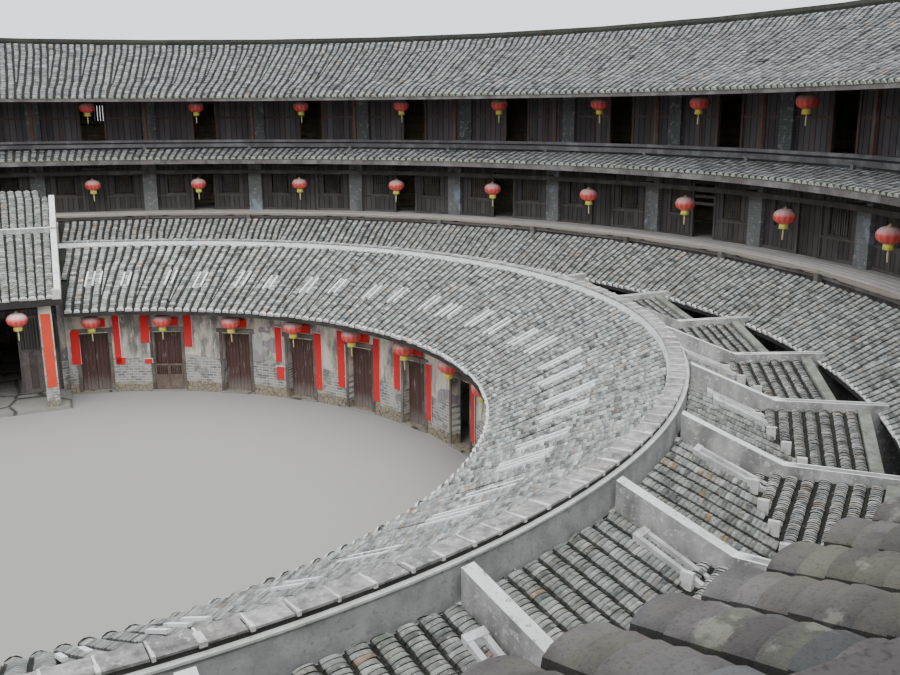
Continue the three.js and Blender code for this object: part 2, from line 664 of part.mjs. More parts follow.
function makeHallFront() {
  const roomHalf = HALL_NOTCH_X - HALL_WALL - GAP;
  const platform = prism(hallPlan(PLATFORM_FRONT_Y, COURT_WALL_R - GAP, 0), 0, PLATFORM_HIGH)
    .add(prism(hallPlan(COURT_WALL_R - GAP - 1, HALL_NOTCH_Y - HALL_WALL - GAP, HALL_WALL + GAP), 0, PLATFORM_HIGH))
    .add(hallBox(-roomHalf, roomHalf, 0.6 * R, HALL_ROOM_END - GAP, 0, PLATFORM_HIGH));
  add('hall_platform', platform, stone);
  const z0 = PLATFORM_HIGH + GAP;
  const half = HALL_PIER_WIDE / 2;
  const pierTop = hallFrontUnder(HALL_PIER_Y - half);
  for (const [side, name] of SIDES) {
    const x = side * HALL_PIER_X;
    add(`hall_pier_${name}`, hallBox(x - half, x + half, HALL_PIER_Y - half, HALL_PIER_Y + half, z0, pierTop), brick);
  }
  const y0 = SCREEN_Y - 20;
  const y1 = SCREEN_Y + 20;
  const screenHalf = hallX(y0, HALL_WALL + GAP);
  const screen = join([
    hallBox(-screenHalf, -SCREEN_DOOR_HALF, y0, y1, z0, SCREEN_HEAD + 1),
    hallBox(SCREEN_DOOR_HALF, screenHalf, y0, y1, z0, SCREEN_HEAD + 1),
    hallBox(-screenHalf, screenHalf, y0 - 30, y1 + 30, SCREEN_HEAD, SCREEN_HEAD + SCREEN_BEAM)
      .intersect(prism(hallPlan(0.3 * R, R, HALL_WALL + GAP), 0, 5000)),
  ]);
  add('hall_screen', screen, timber);
}

// The ridge cap and the copings along both verges
function makeHallRidge(within) {
  const half = 70;
  const high = 60;
  const ridge = hallPlate(-HALL_SIDE, HALL_SIDE, [
    [HALL_RIDGE_Y - half, HALL_RIDGE_Z - half * hallFrontSlope + GAP], [HALL_RIDGE_Y, HALL_RIDGE_Z + GAP],
    [HALL_RIDGE_Y + half, HALL_RIDGE_Z + half * hallRearSlope + GAP],
    [HALL_RIDGE_Y + half, HALL_RIDGE_Z + high], [HALL_RIDGE_Y - half, HALL_RIDGE_Z + high],
  ]).intersect(within);
  const edge = within.subtract(prism(hallPlan(0.2 * R, R, 100), -10, 6000));
  const notchZ = HALL_RIDGE_Z + hallRearSlope * (HALL_NOTCH_Y - HALL_RIDGE_Y);
  const verge = hallPlate(-HALL_SIDE, HALL_SIDE, [
    [HALL_EAVE_Y, HALL_EAVE_Z + GAP], [HALL_RIDGE_Y, HALL_RIDGE_Z + GAP], [HALL_NOTCH_Y, notchZ + GAP],
    [HALL_NOTCH_Y, notchZ + high], [HALL_RIDGE_Y, HALL_RIDGE_Z + high], [HALL_EAVE_Y, HALL_EAVE_Z + high],
  ]).intersect(edge);
  add('hall_ridge', ridge.add(verge), plaster);
}

function makeHall() {
  const within = prism(hallPlan(0.3 * R, LOWER_WALL_R - 21, 0), -1, 5000);
  const notch = join([-1, 1].map((side) => hallBox(
    Math.min(side * HALL_NOTCH_X, side * HALL_SIDE), Math.max(side * HALL_NOTCH_X, side * HALL_SIDE),
    HALL_NOTCH_Y, R, HALL_NOTCH_Z, 5000)));
  makeHallRoof(within, notch);
  makeHallWalls(within, notch);
  makeHallFront();
  makeHallRidge(within);
}

// Rows of lanterns, each hung from a batten that runs round the ring

const LANTERN_RADIUS = 165;
const LANTERN_HIGH = 225;
const BATTEN = 20;

function lantern(degrees, distance, z, top, shift = 0) {
  const r = LANTERN_RADIUS;
  const h = LANTERN_HIGH / 2;
  const outline = [[0, -h], [0.5 * r, -h], [r, -0.3 * h], [r, 0.3 * h], [0.5 * r, h], [0, h]];
  const body = new THREE.LatheGeometry(outline.map(([x, y]) => new THREE.Vector2(x, y)), 6);
  body.rotateX(Math.PI / 2);
  const cord = new THREE.BoxGeometry(10, 10, top - z - h + 1);
  cord.translate(0, 0, (top + z + h - 1) / 2);
  return join([body, cord].map((geometry) => {
    geometry.translate(shift, distance, z - (geometry === body ? 0 : z));
    geometry.rotateZ(-THREE.MathUtils.degToRad(degrees));
    return toSolid(geometry);
  }));
}

// The batten has its own radius, measured at the piers, and the lanterns hang from its middle
function lanternRow(name, bayList, distance, z, battenProfile, shift = 0, room = null) {
  const foot = Math.min(...battenProfile.map((point) => point[1]));
  const lanterns = bayList.map((bay) => lantern(bay * BAY, distance, z, foot + 1, shift));
  const batten = ring(battenProfile);
  add(name, join([room ? batten.subtract(room) : batten, ...lanterns]), lanternRed);
}

function makeLanterns() {
  const all = Array.from({ length: BAYS }, (_, i) => i);
  const atFlat = (distance) => distance / Math.cos(HALF_BAY);
  const hung = (distance, under) => {
    const r0 = atFlat(distance) - BATTEN / 2;
    const r1 = r0 + BATTEN;
    const z0 = under(r0) - BATTEN;
    return [[r0, z0], [r1, z0], [r1, under(r1)], [r0, under(r0)]];
  };
  const top = 0.9759 * R;
  lanternRow('lanterns_top_floor', all, top, 4979, hung(top, mainUnder));
  const bearerFace = BEARER_R - GAP;
  const middle = (bearerFace - BATTEN / 2) * Math.cos(HALF_BAY);
  lanternRow('lanterns_third_floor', all, middle, 3344, [
    [bearerFace - BATTEN, BEARER_TOP - 50], [bearerFace, BEARER_TOP - 50],
    [bearerFace, BEARER_TOP - 30], [bearerFace - BATTEN, BEARER_TOP - 30],
  ]);
  const court = 0.5217 * R;
  const doors = all.filter((i) => i > 0 && i < 29 && i !== 15);
  lanternRow('lanterns_court', doors, court, 1337, hung(court, (r) => pentUnder(front, r)), DOOR_SHIFT, hallRoom);
}

makeFooting();
makeOuterWall();
makeGate();
makeFloors();
makeLowerWall();
makeThirdFloorWall();
makeThirdFloorPiers();
makeGalleryBearer();
makeGalleryEdge();
makeGalleryPosts();
makeTopFloorWall();
makeTopFloorPiers();
makeMainRoof();
makePentRoofs();
makeCourtWall();
makeInnerRoof();
makeWings();
makeDoors();
makeHalfGate();
makeHall();
makeLanterns();

export default group;
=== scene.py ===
# Looks of the tulou roundhouse, a 1:2 scale model, in metres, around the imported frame.
# Angles run from +Y towards +X. A bay frame has x across the bay and y out from the centre.

import math

import bmesh
import bpy
import numpy as np
from mathutils import Matrix, Vector


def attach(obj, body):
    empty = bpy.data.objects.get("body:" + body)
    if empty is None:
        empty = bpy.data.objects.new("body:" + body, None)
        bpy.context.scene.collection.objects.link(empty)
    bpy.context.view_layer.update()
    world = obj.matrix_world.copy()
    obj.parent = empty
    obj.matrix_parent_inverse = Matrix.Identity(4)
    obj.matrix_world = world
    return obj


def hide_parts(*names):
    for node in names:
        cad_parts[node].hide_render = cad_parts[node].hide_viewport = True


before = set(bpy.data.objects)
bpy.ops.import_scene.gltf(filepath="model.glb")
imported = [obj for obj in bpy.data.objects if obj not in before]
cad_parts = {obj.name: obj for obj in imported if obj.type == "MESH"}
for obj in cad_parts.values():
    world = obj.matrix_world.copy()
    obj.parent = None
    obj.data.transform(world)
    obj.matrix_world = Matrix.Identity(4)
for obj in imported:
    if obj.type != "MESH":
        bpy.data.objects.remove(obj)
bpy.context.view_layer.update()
rng = np.random.default_rng(7)

# Driving dimensions, as in the frame
R = 11.25
BAYS = 30
ALL_BAYS = range(BAYS)
TURN = 2 * math.pi
BAY = TURN / BAYS
HALF = BAY / 2
COS = math.cos(HALF)
TAN = math.tan(HALF)
FLOOR_3 = 2.73
FLOOR_4 = 4.228
MAIN_EAVE, MAIN_RIDGE, MAIN_OUTER_R = (0.915 * R, 5.175), (1.13 * R, 6.41), 14.65
MAIN_SLOPE = (MAIN_RIDGE[1] - MAIN_EAVE[1]) / (MAIN_RIDGE[0] - MAIN_EAVE[0])
WAIST_END_R = 10.96
LOWER_END_R = 10.486
GALLERY_EDGE_R = 0.9733 * R
DECK_EDGE_R = 0.937 * R
TOP_WALL_R = 1.045 * R
OUTER_R = 13.6
RIDGE_INNER_R, RIDGE_OUTER_R = 0.6645 * R, 7.66
BACK_TOP_Z, BACK_SLOPE = 2.246, 0.404
WING_END_R, WING_HIGH_Z, WING_LOW_Z = 0.829 * R, 0.1842 * R, 0.1488 * R
PARTY_HALF = 0.05
CAP_BEND_R = 0.752 * R
HALL_HALF, HALL_AT, HALL_FLARE = 0.101 * R, 0.5 * R, 0.068
HALL_EAVE = (0.445 * R, 0.1715 * R)
HALL_RIDGE = (0.63 * R, 0.249 * R)
HALL_REAR = (0.8 * R, 0.3 * R)
HALL_BACK_Y, HALL_BACK_SLOPE = 0.925 * R, 0.4
HALL_NOTCH_Y, HALL_NOTCH_X = 0.765 * R, 0.098 * R
HALL_PIER = (0.0735 * R, 0.4635 * R, 0.1)
SCREEN_Y, SCREEN_DOOR_HALF = 0.553 * R, 0.034 * R
DOOR_SHIFT, DOOR_HALF, DOOR_HEAD, SILL = 0.03 * R, 0.25, 1.085, 0.03
COURT_FACE = 0.543 * R * COS
SIDE_WINDOW = (0.606, 0.19, FLOOR_3 + 0.38, FLOOR_3 + 0.785)
DOOR_BAYS = [bay for bay in range(1, 29) if bay != 15]
FIXED_LEAF_BAYS = [bay for bay in ALL_BAYS if bay > 7 and bay != 15]


# Node materials

MIX_A, MIX_B = 6, 7     # the colour sockets of a mix node


class Shader:
    """One material, with short calls for the nodes that it is made of."""

    def __init__(self, name, roughness=0.9):
        self.material = bpy.data.materials.new(name)
        self.material.use_nodes = True
        self.tree = self.material.node_tree
        self.shader = self.tree.nodes["Principled BSDF"]
        self.shader.inputs["Roughness"].default_value = roughness
        self.shader.inputs["Specular IOR Level"].default_value = 0.3
        self.place = self.node("ShaderNodeTexCoord").outputs["Object"]

    def node(self, kind, inputs=(), **settings):
        node = self.tree.nodes.new(kind)
        for key, value in settings.items():
            setattr(node, key, value)
        for key, value in dict(inputs).items():
            self.put(node.inputs[key], value)
        return node

    def put(self, socket, value):
        if isinstance(value, bpy.types.NodeSocket):
            self.tree.links.new(value, socket)
        elif socket.type == "RGBA" and len(value) == 3:
            socket.default_value = (*value, 1)
        else:
            socket.default_value = value

    def math(self, operation, a, b=0.0):
        return self.node("ShaderNodeMath", {0: a, 1: b}, operation=operation).outputs[0]

    def plus(self, a, b):
        return self.math("ADD", a, b)

    def minus(self, a, b):
        return self.math("SUBTRACT", a, b)

    def times(self, a, b):
        return self.math("MULTIPLY", a, b)

    def off_middle(self, value, pitch):
        """From 0 in the middle of each repeat to 0.5 at its edges."""
        share = self.math("FRACT", self.math("DIVIDE", value, pitch))
        return self.math("ABSOLUTE", self.minus(share, 0.5))

    def noise(self, scale, detail=5, place=None):
        values = {"Vector": place or self.place, "Scale": scale, "Detail": detail, "Roughness": 0.6}
        return self.node("ShaderNodeTexNoise", values).outputs["Fac"]

    def cells(self, scale, edges=False, place=None):
        return self.node("ShaderNodeTexVoronoi", {"Vector": place or self.place, "Scale": scale},
                         feature="DISTANCE_TO_EDGE" if edges else "F1").outputs

    def stretched(self, x, y, z, place=None):
        return self.node("ShaderNodeVectorMath", {0: place or self.place, 1: (x, y, z)},
                         operation="MULTIPLY").outputs[0]

    def ramp(self, value, low, high, to_low=0.0, to_high=1.0):
        values = {"Value": value, "From Min": low, "From Max": high, "To Min": to_low, "To Max": to_high}
        return self.node("ShaderNodeMapRange", values).outputs["Result"]

    def mix(self, factor, a, b, kind="MIX"):
        node = self.node("ShaderNodeMix", {"Factor": factor}, data_type="RGBA", blend_type=kind)
        self.put(node.inputs[MIX_A], a)
        self.put(node.inputs[MIX_B], b)
        return node.outputs[2]

    def blotch(self, colour, other, scale, low, high, share=1.0, detail=5, place=None):
        """Another colour where a noise is high."""
        return self.mix(self.ramp(self.noise(scale, detail, place), low, high, 0, share), colour, other)

    def by_hue(self, colour, *rows):
        """Other colours on some of the tiles, each with a ramp of the tile's hue number and a share."""
        hue = self.attribute("hue")
        for low, high, share, other in rows:
            colour = self.mix(self.ramp(hue, low, high, 0, share), colour, other)
        return colour

    def darken(self, colour, factor):
        grey = self.node("ShaderNodeCombineColor", {0: factor, 1: factor, 2: factor}).outputs[0]
        return self.mix(1.0, colour, grey, "MULTIPLY")

    def attribute(self, name):
        return self.node("ShaderNodeAttribute", attribute_name=name).outputs["Fac"]

    def split(self, vector):
        return self.node("ShaderNodeSeparateXYZ", {0: vector}).outputs

    def joined(self, x, y, z=0.0):
        return self.node("ShaderNodeCombineXYZ", {0: x, 1: y, 2: z}).outputs[0]

    def around(self, radius=R):
        """Coordinates along the ring, out from the centre, and up."""
        x, y, z = self.split(self.place)
        along = self.times(self.math("ARCTAN2", x, y), radius)
        flat = self.stretched(1, 1, 0)
        out = self.node("ShaderNodeVectorMath", {0: flat}, operation="LENGTH").outputs["Value"]
        return self.joined(along, out, z)

    def facing_up(self):
        return self.split(self.node("ShaderNodeNewGeometry").outputs["Normal"])[2]

    def done(self, colour, height=None, distance=0.01, strength=1.0):
        """The finished material, from its colour and, for its relief, a height."""
        self.put(self.shader.inputs["Base Color"], colour)
        if height is not None:
            self.put(self.shader.inputs["Normal"], self.node("ShaderNodeBump", {
                "Height": height, "Distance": distance, "Strength": strength}).outputs[0])
        return self.material


def scaled(colour, factor):
    return tuple(v * factor for v in colour)


def tile_material(name, dark, light, moss=0.0, lichen=0.5, tint=1.0):
    """Each tile has its own tone and, now and then, a bluish, ochre or orange hue."""
    s = Shader(name, 0.88)
    colour = s.mix(s.attribute("tone"), dark, light)
    colour = s.by_hue(colour, (0.84, 0.97, 0.45 * tint, (0.28, 0.35, 0.34)),
                      (0.2, 0.05, 0.5 * tint, (0.43, 0.37, 0.29)),
                      (0.014, 0.008, 0.6 * tint, (0.5, 0.28, 0.14)))
    colour = s.blotch(colour, (0.44, 0.45, 0.42), 0.8, 0.42, 0.66, 0.3, 4)
    colour = s.blotch(colour, (0.22, 0.27, 0.15), 2.6, 0.48, 0.68, moss)
    colour = s.blotch(colour, (0.7, 0.71, 0.64), 30, 0.56, 0.66, lichen)
    colour = s.darken(colour, s.ramp(s.noise(11), 0.34, 0.6, 0.45))
    # Painted shade: darker by each face's shade mark, at the sides of the tiles and under their lips.
    return s.done(s.darken(colour, s.attribute("shade")), s.noise(85, 4), 0.004, 0.7)


def near_tile_material():
    """Large old tiles of the waist roof, purple-grey to brown, with green growth and pale crusts."""
    s = Shader("waist_tiles")
    colour = s.mix(s.attribute("tone"), (0.135, 0.126, 0.126), (0.33, 0.31, 0.302))
    colour = s.by_hue(colour, (0.5, 0.8, 0.6, (0.235, 0.2, 0.17)), (0.88, 0.93, 0.7, (0.3, 0.33, 0.25)),
                      (0.12, 0.04, 0.65, (0.3, 0.345, 0.36)))
    colour = s.blotch(colour, (0.12, 0.108, 0.105), 5.5, 0.42, 0.6, 0.65)
    colour = s.blotch(colour, (0.27, 0.25, 0.19), 3.1, 0.5, 0.66, 0.6, 4, s.stretched(1, 1.3, 1))
    colour = s.blotch(colour, (0.46, 0.45, 0.38), 8, 0.6, 0.65, 0.65, 7)
    colour = s.darken(colour, s.ramp(s.noise(120, 3), 0.3, 0.48, 0.7))
    # Painted shade: darker by each face's shade mark, at the sides of the tiles and under their lips.
    colour = s.darken(colour, s.attribute("shade"))
    return s.done(colour, s.plus(s.noise(150, 4), s.times(s.noise(22, 4), 1.5)), 0.003, 0.8)


def trough_material(name, dark, light):
    s = Shader(name, 0.95)
    colour = s.blotch(s.mix(s.noise(11), dark, light), (0.05, 0.056, 0.034), 1.1, 0.52, 0.68, 0.5, 3)
    colour = s.blotch(colour, (0.3, 0.29, 0.25), 46, 0.62, 0.7, 0.5, 3)
    return s.done(colour, s.noise(40, 4), 0.012)


def mortar_material(name, clean, dirty, share=0.5):
    s = Shader(name, 0.92)
    colour = s.blotch(clean, dirty, 6, 0.36, 0.36 + 0.4 * (1 - share) + 0.08)
    colour = s.blotch(colour, scaled(dirty, 0.45), 30, 0.56, 0.74, 0.6, 4)
    return s.done(colour, s.noise(48), 0.006, 0.8)


def plaster_material(name, clean, dirty, side):
    """White on what faces up, dirty grey with streaks on the upright sides."""
    s = Shader(name)
    colour = s.blotch(clean, dirty, 4.5, 0.42, 0.68, place=s.stretched(1, 1, 0.4))
    colour = s.blotch(colour, (0.24, 0.24, 0.22), 26, 0.56, 0.7, 0.7)
    colour = s.mix(wall_middle(s), colour, s.mix(s.noise(9), (0.2, 0.2, 0.19), (0.46, 0.46, 0.44)))
    rough_side = s.blotch(side, scaled(side, 0.5), 4, 0.4, 0.6, 1.0, 6, s.stretched(1, 1, 0.45))
    rough_side = s.blotch(rough_side, scaled(side, 1.6), 24, 0.56, 0.68, 0.6)
    return s.done(s.mix(s.ramp(s.facing_up(), 0.8, 0.45), colour, rough_side), s.noise(45), 0.008, 0.8)


def wall_middle(s):
    """One on the middle of the level party walls, whose edges alone have stayed white."""
    along, out, _ = s.split(s.around(1.0))
    turn = s.math("FRACT", s.math("DIVIDE", along, BAY))
    aside = s.math("ABSOLUTE", s.times(s.times(s.minus(turn, 0.5), BAY), out))
    level = s.ramp(out, CAP_BEND_R + 0.02, CAP_BEND_R + 0.12)
    return s.times(s.times(s.ramp(aside, 0.034, 0.028), level), s.ramp(s.noise(2.2, 4), 0.36, 0.5, 0.3))


def board_material(name, dark, light, pitch, lengthwise=False, wear=(0.2, 0.19, 0.18), worn=0.35):
    """Boards that stand side by side round the ring, or lie along it."""
    s = Shader(name, 0.85)
    place = s.around()
    along, out, _ = s.split(place)
    across = out if lengthwise else along
    bay = s.math("FLOOR", s.math("DIVIDE", along, BAY * R)) if lengthwise else 0.0
    number = s.plus(s.math("FLOOR", s.math("DIVIDE", across, pitch)), s.times(bay, 7.3))
    shade = s.node("ShaderNodeTexWhiteNoise", {"W": number}, noise_dimensions="1D").outputs["Value"]
    stretch = (0.7, 9, 3) if lengthwise else (9, 1, 0.7)
    grain = s.noise(6, 6, s.stretched(*stretch, place))
    colour = s.mix(s.times(s.plus(shade, grain), 0.5), dark, light)
    colour = s.blotch(colour, wear, 1.7, 0.46, 0.72, worn, 4, s.stretched(1, 1, 0.5, place))
    gap = s.ramp(s.off_middle(across, pitch), 0.44, 0.49)
    colour = s.mix(gap, colour, scaled(dark, 0.12))
    return s.done(colour, s.minus(s.times(grain, 0.3), gap), 0.008)


def timber_material(name, dark, light, worn=(0.33, 0.31, 0.29), share=0.4):
    """Single timbers, each with its own tone, with fine grain and worn patches."""
    s = Shader(name, 0.82)
    grain = s.noise(26, 5, s.stretched(1, 1, 0.25))
    colour = s.mix(s.times(s.plus(s.attribute("tone"), grain), 0.55), dark, light)
    colour = s.blotch(colour, worn, 3.2, 0.48, 0.7, share)
    colour = s.darken(colour, s.ramp(s.noise(70, 3), 0.3, 0.5, 0.6))
    return s.done(colour, grain, 0.004, 0.8)


BRICK_WIDE, BRICK_HIGH, MORTAR_WIDE = 0.145, 0.048, 0.006


def brick_nodes(s, place, one, two, mortar):
    along, _, up = s.split(place)
    return s.node("ShaderNodeTexBrick", {
        "Vector": s.joined(along, up), "Color1": one, "Color2": two, "Mortar": mortar, "Scale": 1.0,
        "Mortar Size": MORTAR_WIDE, "Mortar Smooth": 0.3, "Bias": -0.1, "Brick Width": BRICK_WIDE,
        "Row Height": BRICK_HIGH}, offset=0.5).outputs


def court_wall_material():
    """Rubble at the foot, grey brick above it, and stained ochre to grey plaster on top."""
    s = Shader("court_wall")
    place = s.around(COURT_FACE)
    up = s.split(place)[2]
    brick = brick_nodes(s, place, (0.19, 0.19, 0.185), (0.42, 0.415, 0.39), (0.72, 0.71, 0.67))
    lower = s.blotch(brick["Color"], (0.56, 0.54, 0.48), 5, 0.44, 0.6, 0.75, 5, place)
    lower = s.blotch(lower, (0.14, 0.142, 0.14), 6.5, 0.52, 0.64, 0.65, 5, place)
    rubble = s.mix(s.noise(9, 5, place), (0.23, 0.2, 0.155), (0.46, 0.4, 0.29))
    joint = s.ramp(s.cells(11, True, place)["Distance"], 0.06, 0.01)
    rubble = s.mix(joint, rubble, (0.1, 0.088, 0.07))
    foot = s.plus(up, s.times(s.noise(2.4, 3, place), 0.24))
    lower = s.mix(s.ramp(foot, 0.32, 0.27), lower, rubble)
    upper = s.blotch((0.78, 0.71, 0.6), (0.5, 0.495, 0.485), 0.9, 0.42, 0.58, 1.0, 4, place)
    upper = s.blotch(upper, (0.17, 0.165, 0.16), 3.6, 0.45, 0.6, 0.9, 6, s.stretched(1, 1, 0.35, place))
    upper = s.blotch(upper, (0.9, 0.87, 0.82), 15, 0.56, 0.68, 0.7, 5, s.stretched(1, 1, 0.3, place))
    raked = s.mix(s.noise(20, 4, s.stretched(1.6, 1, 0.12, place)), (0.12, 0.1, 0.115), (0.6, 0.53, 0.56))
    upper = s.blotch(upper, raked, 1.25, 0.6, 0.615, 1.0, 3, s.stretched(1, 1, 1.4, place))
    plastered = s.ramp(s.plus(up, s.times(s.noise(1.5, 3, place), 0.42)), 0.83, 0.85)
    joints = s.times(brick["Fac"], s.minus(1.0, plastered))
    height = s.minus(s.plus(s.times(plastered, 1.5), s.noise(30, 4)), joints)
    return s.done(s.mix(plastered, lower, upper), height, 0.004)


def pier_material(name, one, two, mortar, worn, blue=0.0):
    """Brick piers under grey limewash that has come off in places."""
    s = Shader(name)
    place = s.around()
    brick = brick_nodes(s, place, one, two, mortar)
    washed = s.ramp(s.noise(2.6, 5, s.stretched(1, 1, 0.6, place)), 0.36, 0.6, 0.35)
    colour = s.mix(washed, brick["Color"], worn)
    colour = s.blotch(colour, scaled(worn, 0.55), 4, 0.48, 0.64, 0.7, 5, s.stretched(1, 1, 0.4, place))
    colour = s.blotch(colour, (0.44, 0.425, 0.38), 13, 0.57, 0.64, 0.75, 6, place)
    colour = s.blotch(colour, (0.36, 0.48, 0.56), 1.1, 0.61, 0.65, blue, 3, s.stretched(1, 1, 0.9, place))
    return s.done(colour, s.minus(s.noise(28, 4), s.times(brick["Fac"], 0.6)), 0.004)


LIFT_HIGH = 0.2         # one rammed layer of the outer wall


def earth_material():
    s = Shader("rammed_earth", 0.95)
    place = s.around(OUTER_R)
    layers = s.noise(3, 5, s.stretched(0.06, 0.06, 4, place))
    colour = s.mix(s.ramp(layers, 0.3, 0.7), (0.4, 0.315, 0.215), (0.49, 0.395, 0.28))
    colour = s.blotch(colour, (0.335, 0.285, 0.22), 0.55, 0.42, 0.66, 0.7, 6, place)
    colour = s.blotch(colour, (0.6, 0.53, 0.42), 4, 0.5, 0.68, 0.35, 6, place)
    colour = s.blotch(colour, (0.21, 0.185, 0.15), 2.4, 0.5, 0.7, 0.7, 5, s.stretched(1, 1, 0.12, place))
    seam = s.ramp(s.off_middle(s.split(place)[2], LIFT_HIGH), 0.46, 0.495)
    colour = s.darken(colour, s.ramp(seam, 0, 1, 1.0, 0.82))
    height = s.plus(s.times(layers, 0.8), s.times(s.cells(16, False, place)["Distance"], -0.5))
    return s.done(colour, s.minus(height, seam), 0.03)


def stone_material(name, light, dark, size):
    s = Shader(name, 0.85)
    edge = s.cells(size, True)["Distance"]
    colour = s.mix(s.split(s.cells(size)["Color"])[0], dark, light)
    colour = s.mix(s.ramp(edge, 0.05, 0.015), colour, (0.08, 0.072, 0.062))
    colour = s.blotch(colour, (0.4, 0.385, 0.32), 12, 0.5, 0.7, 0.5)
    return s.done(colour, s.plus(s.ramp(edge, 0.0, 0.12), s.times(s.noise(40, 4), 0.2)), 0.02)


def door_material():
    """Red-brown planks, bleached and split towards the foot."""
    s = Shader("door_planks", 0.55)
    place = s.around(COURT_FACE)
    along, _, up = s.split(place)
    grain = s.noise(9, 6, s.stretched(9, 1, 0.6, place))
    colour = s.mix(grain, (0.058, 0.03, 0.027), (0.15, 0.084, 0.073))
    colour = s.blotch(colour, (0.4, 0.37, 0.34), 11, 0.59, 0.68, 0.6, 6, s.stretched(2.4, 1, 0.35, place))
    foot = s.ramp(s.plus(up, s.times(grain, 0.3)), 0.46, 0.16, 0, 0.8)
    colour = s.mix(foot, colour, (0.3, 0.275, 0.25))
    gap = s.ramp(s.off_middle(along, 0.062), 0.45, 0.49)
    colour = s.mix(gap, colour, (0.012, 0.009, 0.008))
    return s.done(colour, s.minus(s.times(grain, 0.3), gap), 0.004)


def cloth_material(name, colour, dark, painted_sheen):
    """Ribbed cloth of a lantern, with a painted highlight: a pale sheen painted on where it faces up."""
    s = Shader(name, 0.34)
    s.shader.inputs["Specular IOR Level"].default_value = 0.5
    shade = s.mix(s.attribute("tone"), colour, dark)
    # Painted highlight: the colour turns to the pale sheen colour where the cloth faces up.
    shade = s.mix(s.ramp(s.facing_up(), -0.05, 0.85, 0, 0.8), shade, painted_sheen)
    return s.done(shade, s.noise(160, 2), 0.001, 0.5)


def paper_material(name, colour):
    """Red paper that has cockled on the wall, with pale torn flecks."""
    s = Shader(name, 0.75)
    shade = s.blotch(colour, tuple(min(1, v * 0.8 + 0.02) for v in colour), 6, 0.4, 0.65, 1.0, 4)
    shade = s.blotch(shade, (0.62, 0.58, 0.54), 17, 0.69, 0.71)
    return s.done(shade, s.noise(9, 3), 0.006, 0.8)


TILES = tile_material("roof_tiles", (0.135, 0.137, 0.135), (0.58, 0.585, 0.56))
FRONT_TILES = tile_material("front_tiles", (0.14, 0.142, 0.14), (0.8, 0.81, 0.79))
BACK_TILES = tile_material("back_tiles", (0.19, 0.192, 0.19), (0.68, 0.685, 0.66), 0.3, 0.8)
MAIN_TILES = tile_material("main_roof_tiles", (0.115, 0.118, 0.125), (0.44, 0.445, 0.455), 0.15, 0.45, 0.5)
WING_TILES = tile_material("wing_tiles", (0.18, 0.18, 0.175), (0.82, 0.81, 0.78), 0.15, 0.6, 1.6)
RIDGE_TILES = tile_material("ridge_slabs", (0.28, 0.262, 0.265), (0.54, 0.51, 0.51), 0.1, 0.7, 0.3)
NEAR_TILES = near_tile_material()
# Near-black sheets between the rolls: dark mossy pan tiles, with painted shade in the troughs.
TROUGHS_AND_SHADE = trough_material("trough_tiles", (0.01, 0.01, 0.009), (0.045, 0.045, 0.038))
RUBBLE_BED = trough_material("mortar_bed", (0.025, 0.022, 0.02), (0.11, 0.1, 0.088))
MORTAR = mortar_material("white_mortar", (0.84, 0.84, 0.81), (0.52, 0.52, 0.49), 0.35)
DULL_MORTAR = mortar_material("dull_mortar", (0.52, 0.55, 0.45), (0.28, 0.31, 0.24))
STRIPS = mortar_material("skylight_strips", (1.0, 1.0, 1.0), (0.9, 0.89, 0.9), 0.2)
ROUGH_STRIPS = mortar_material("skylight_frames", (0.86, 0.85, 0.86), (0.5, 0.49, 0.48))
CAPS = plaster_material("cap_plaster", (1.0, 1.0, 0.99), (0.8, 0.8, 0.77), (0.56, 0.555, 0.54))
RIM = mortar_material("ridge_rim", (0.82, 0.84, 0.8), (0.58, 0.6, 0.56), 0.4)
BAND = mortar_material("ridge_band", (0.92, 0.93, 0.92), (0.66, 0.67, 0.66), 0.35)
RIDGE_WALL = mortar_material("ridge_wall", (0.56, 0.56, 0.56), (0.38, 0.38, 0.38))
VERGE = mortar_material("verge_slab", (0.34, 0.355, 0.31), (0.2, 0.21, 0.17))
DARK_BOARDS = board_material("dark_boards", (0.036, 0.032, 0.032), (0.13, 0.115, 0.112), 0.11)
TOP_BOARDS = board_material("top_boards", (0.06, 0.054, 0.058), (0.21, 0.187, 0.19), 0.12, False,
                            (0.26, 0.25, 0.25))
DECK_BOARDS = board_material("deck_boards", (0.34, 0.305, 0.29), (0.86, 0.8, 0.77), 0.142, True,
                             (0.6, 0.58, 0.56), 0.6)
FLOOR_BOARDS = board_material("floor_boards", (0.13, 0.11, 0.1), (0.27, 0.24, 0.22), 0.142, True)
BEAMS = timber_material("beam_timber", (0.05, 0.043, 0.041), (0.165, 0.14, 0.13), (0.24, 0.225, 0.22))
LOGS = timber_material("post_timber", (0.1, 0.062, 0.05), (0.24, 0.155, 0.125), (0.23, 0.2, 0.19))
FASCIA = timber_material("weathered_fascia", (0.075, 0.066, 0.064), (0.2, 0.178, 0.17), (0.3, 0.3, 0.3),
                         0.75)
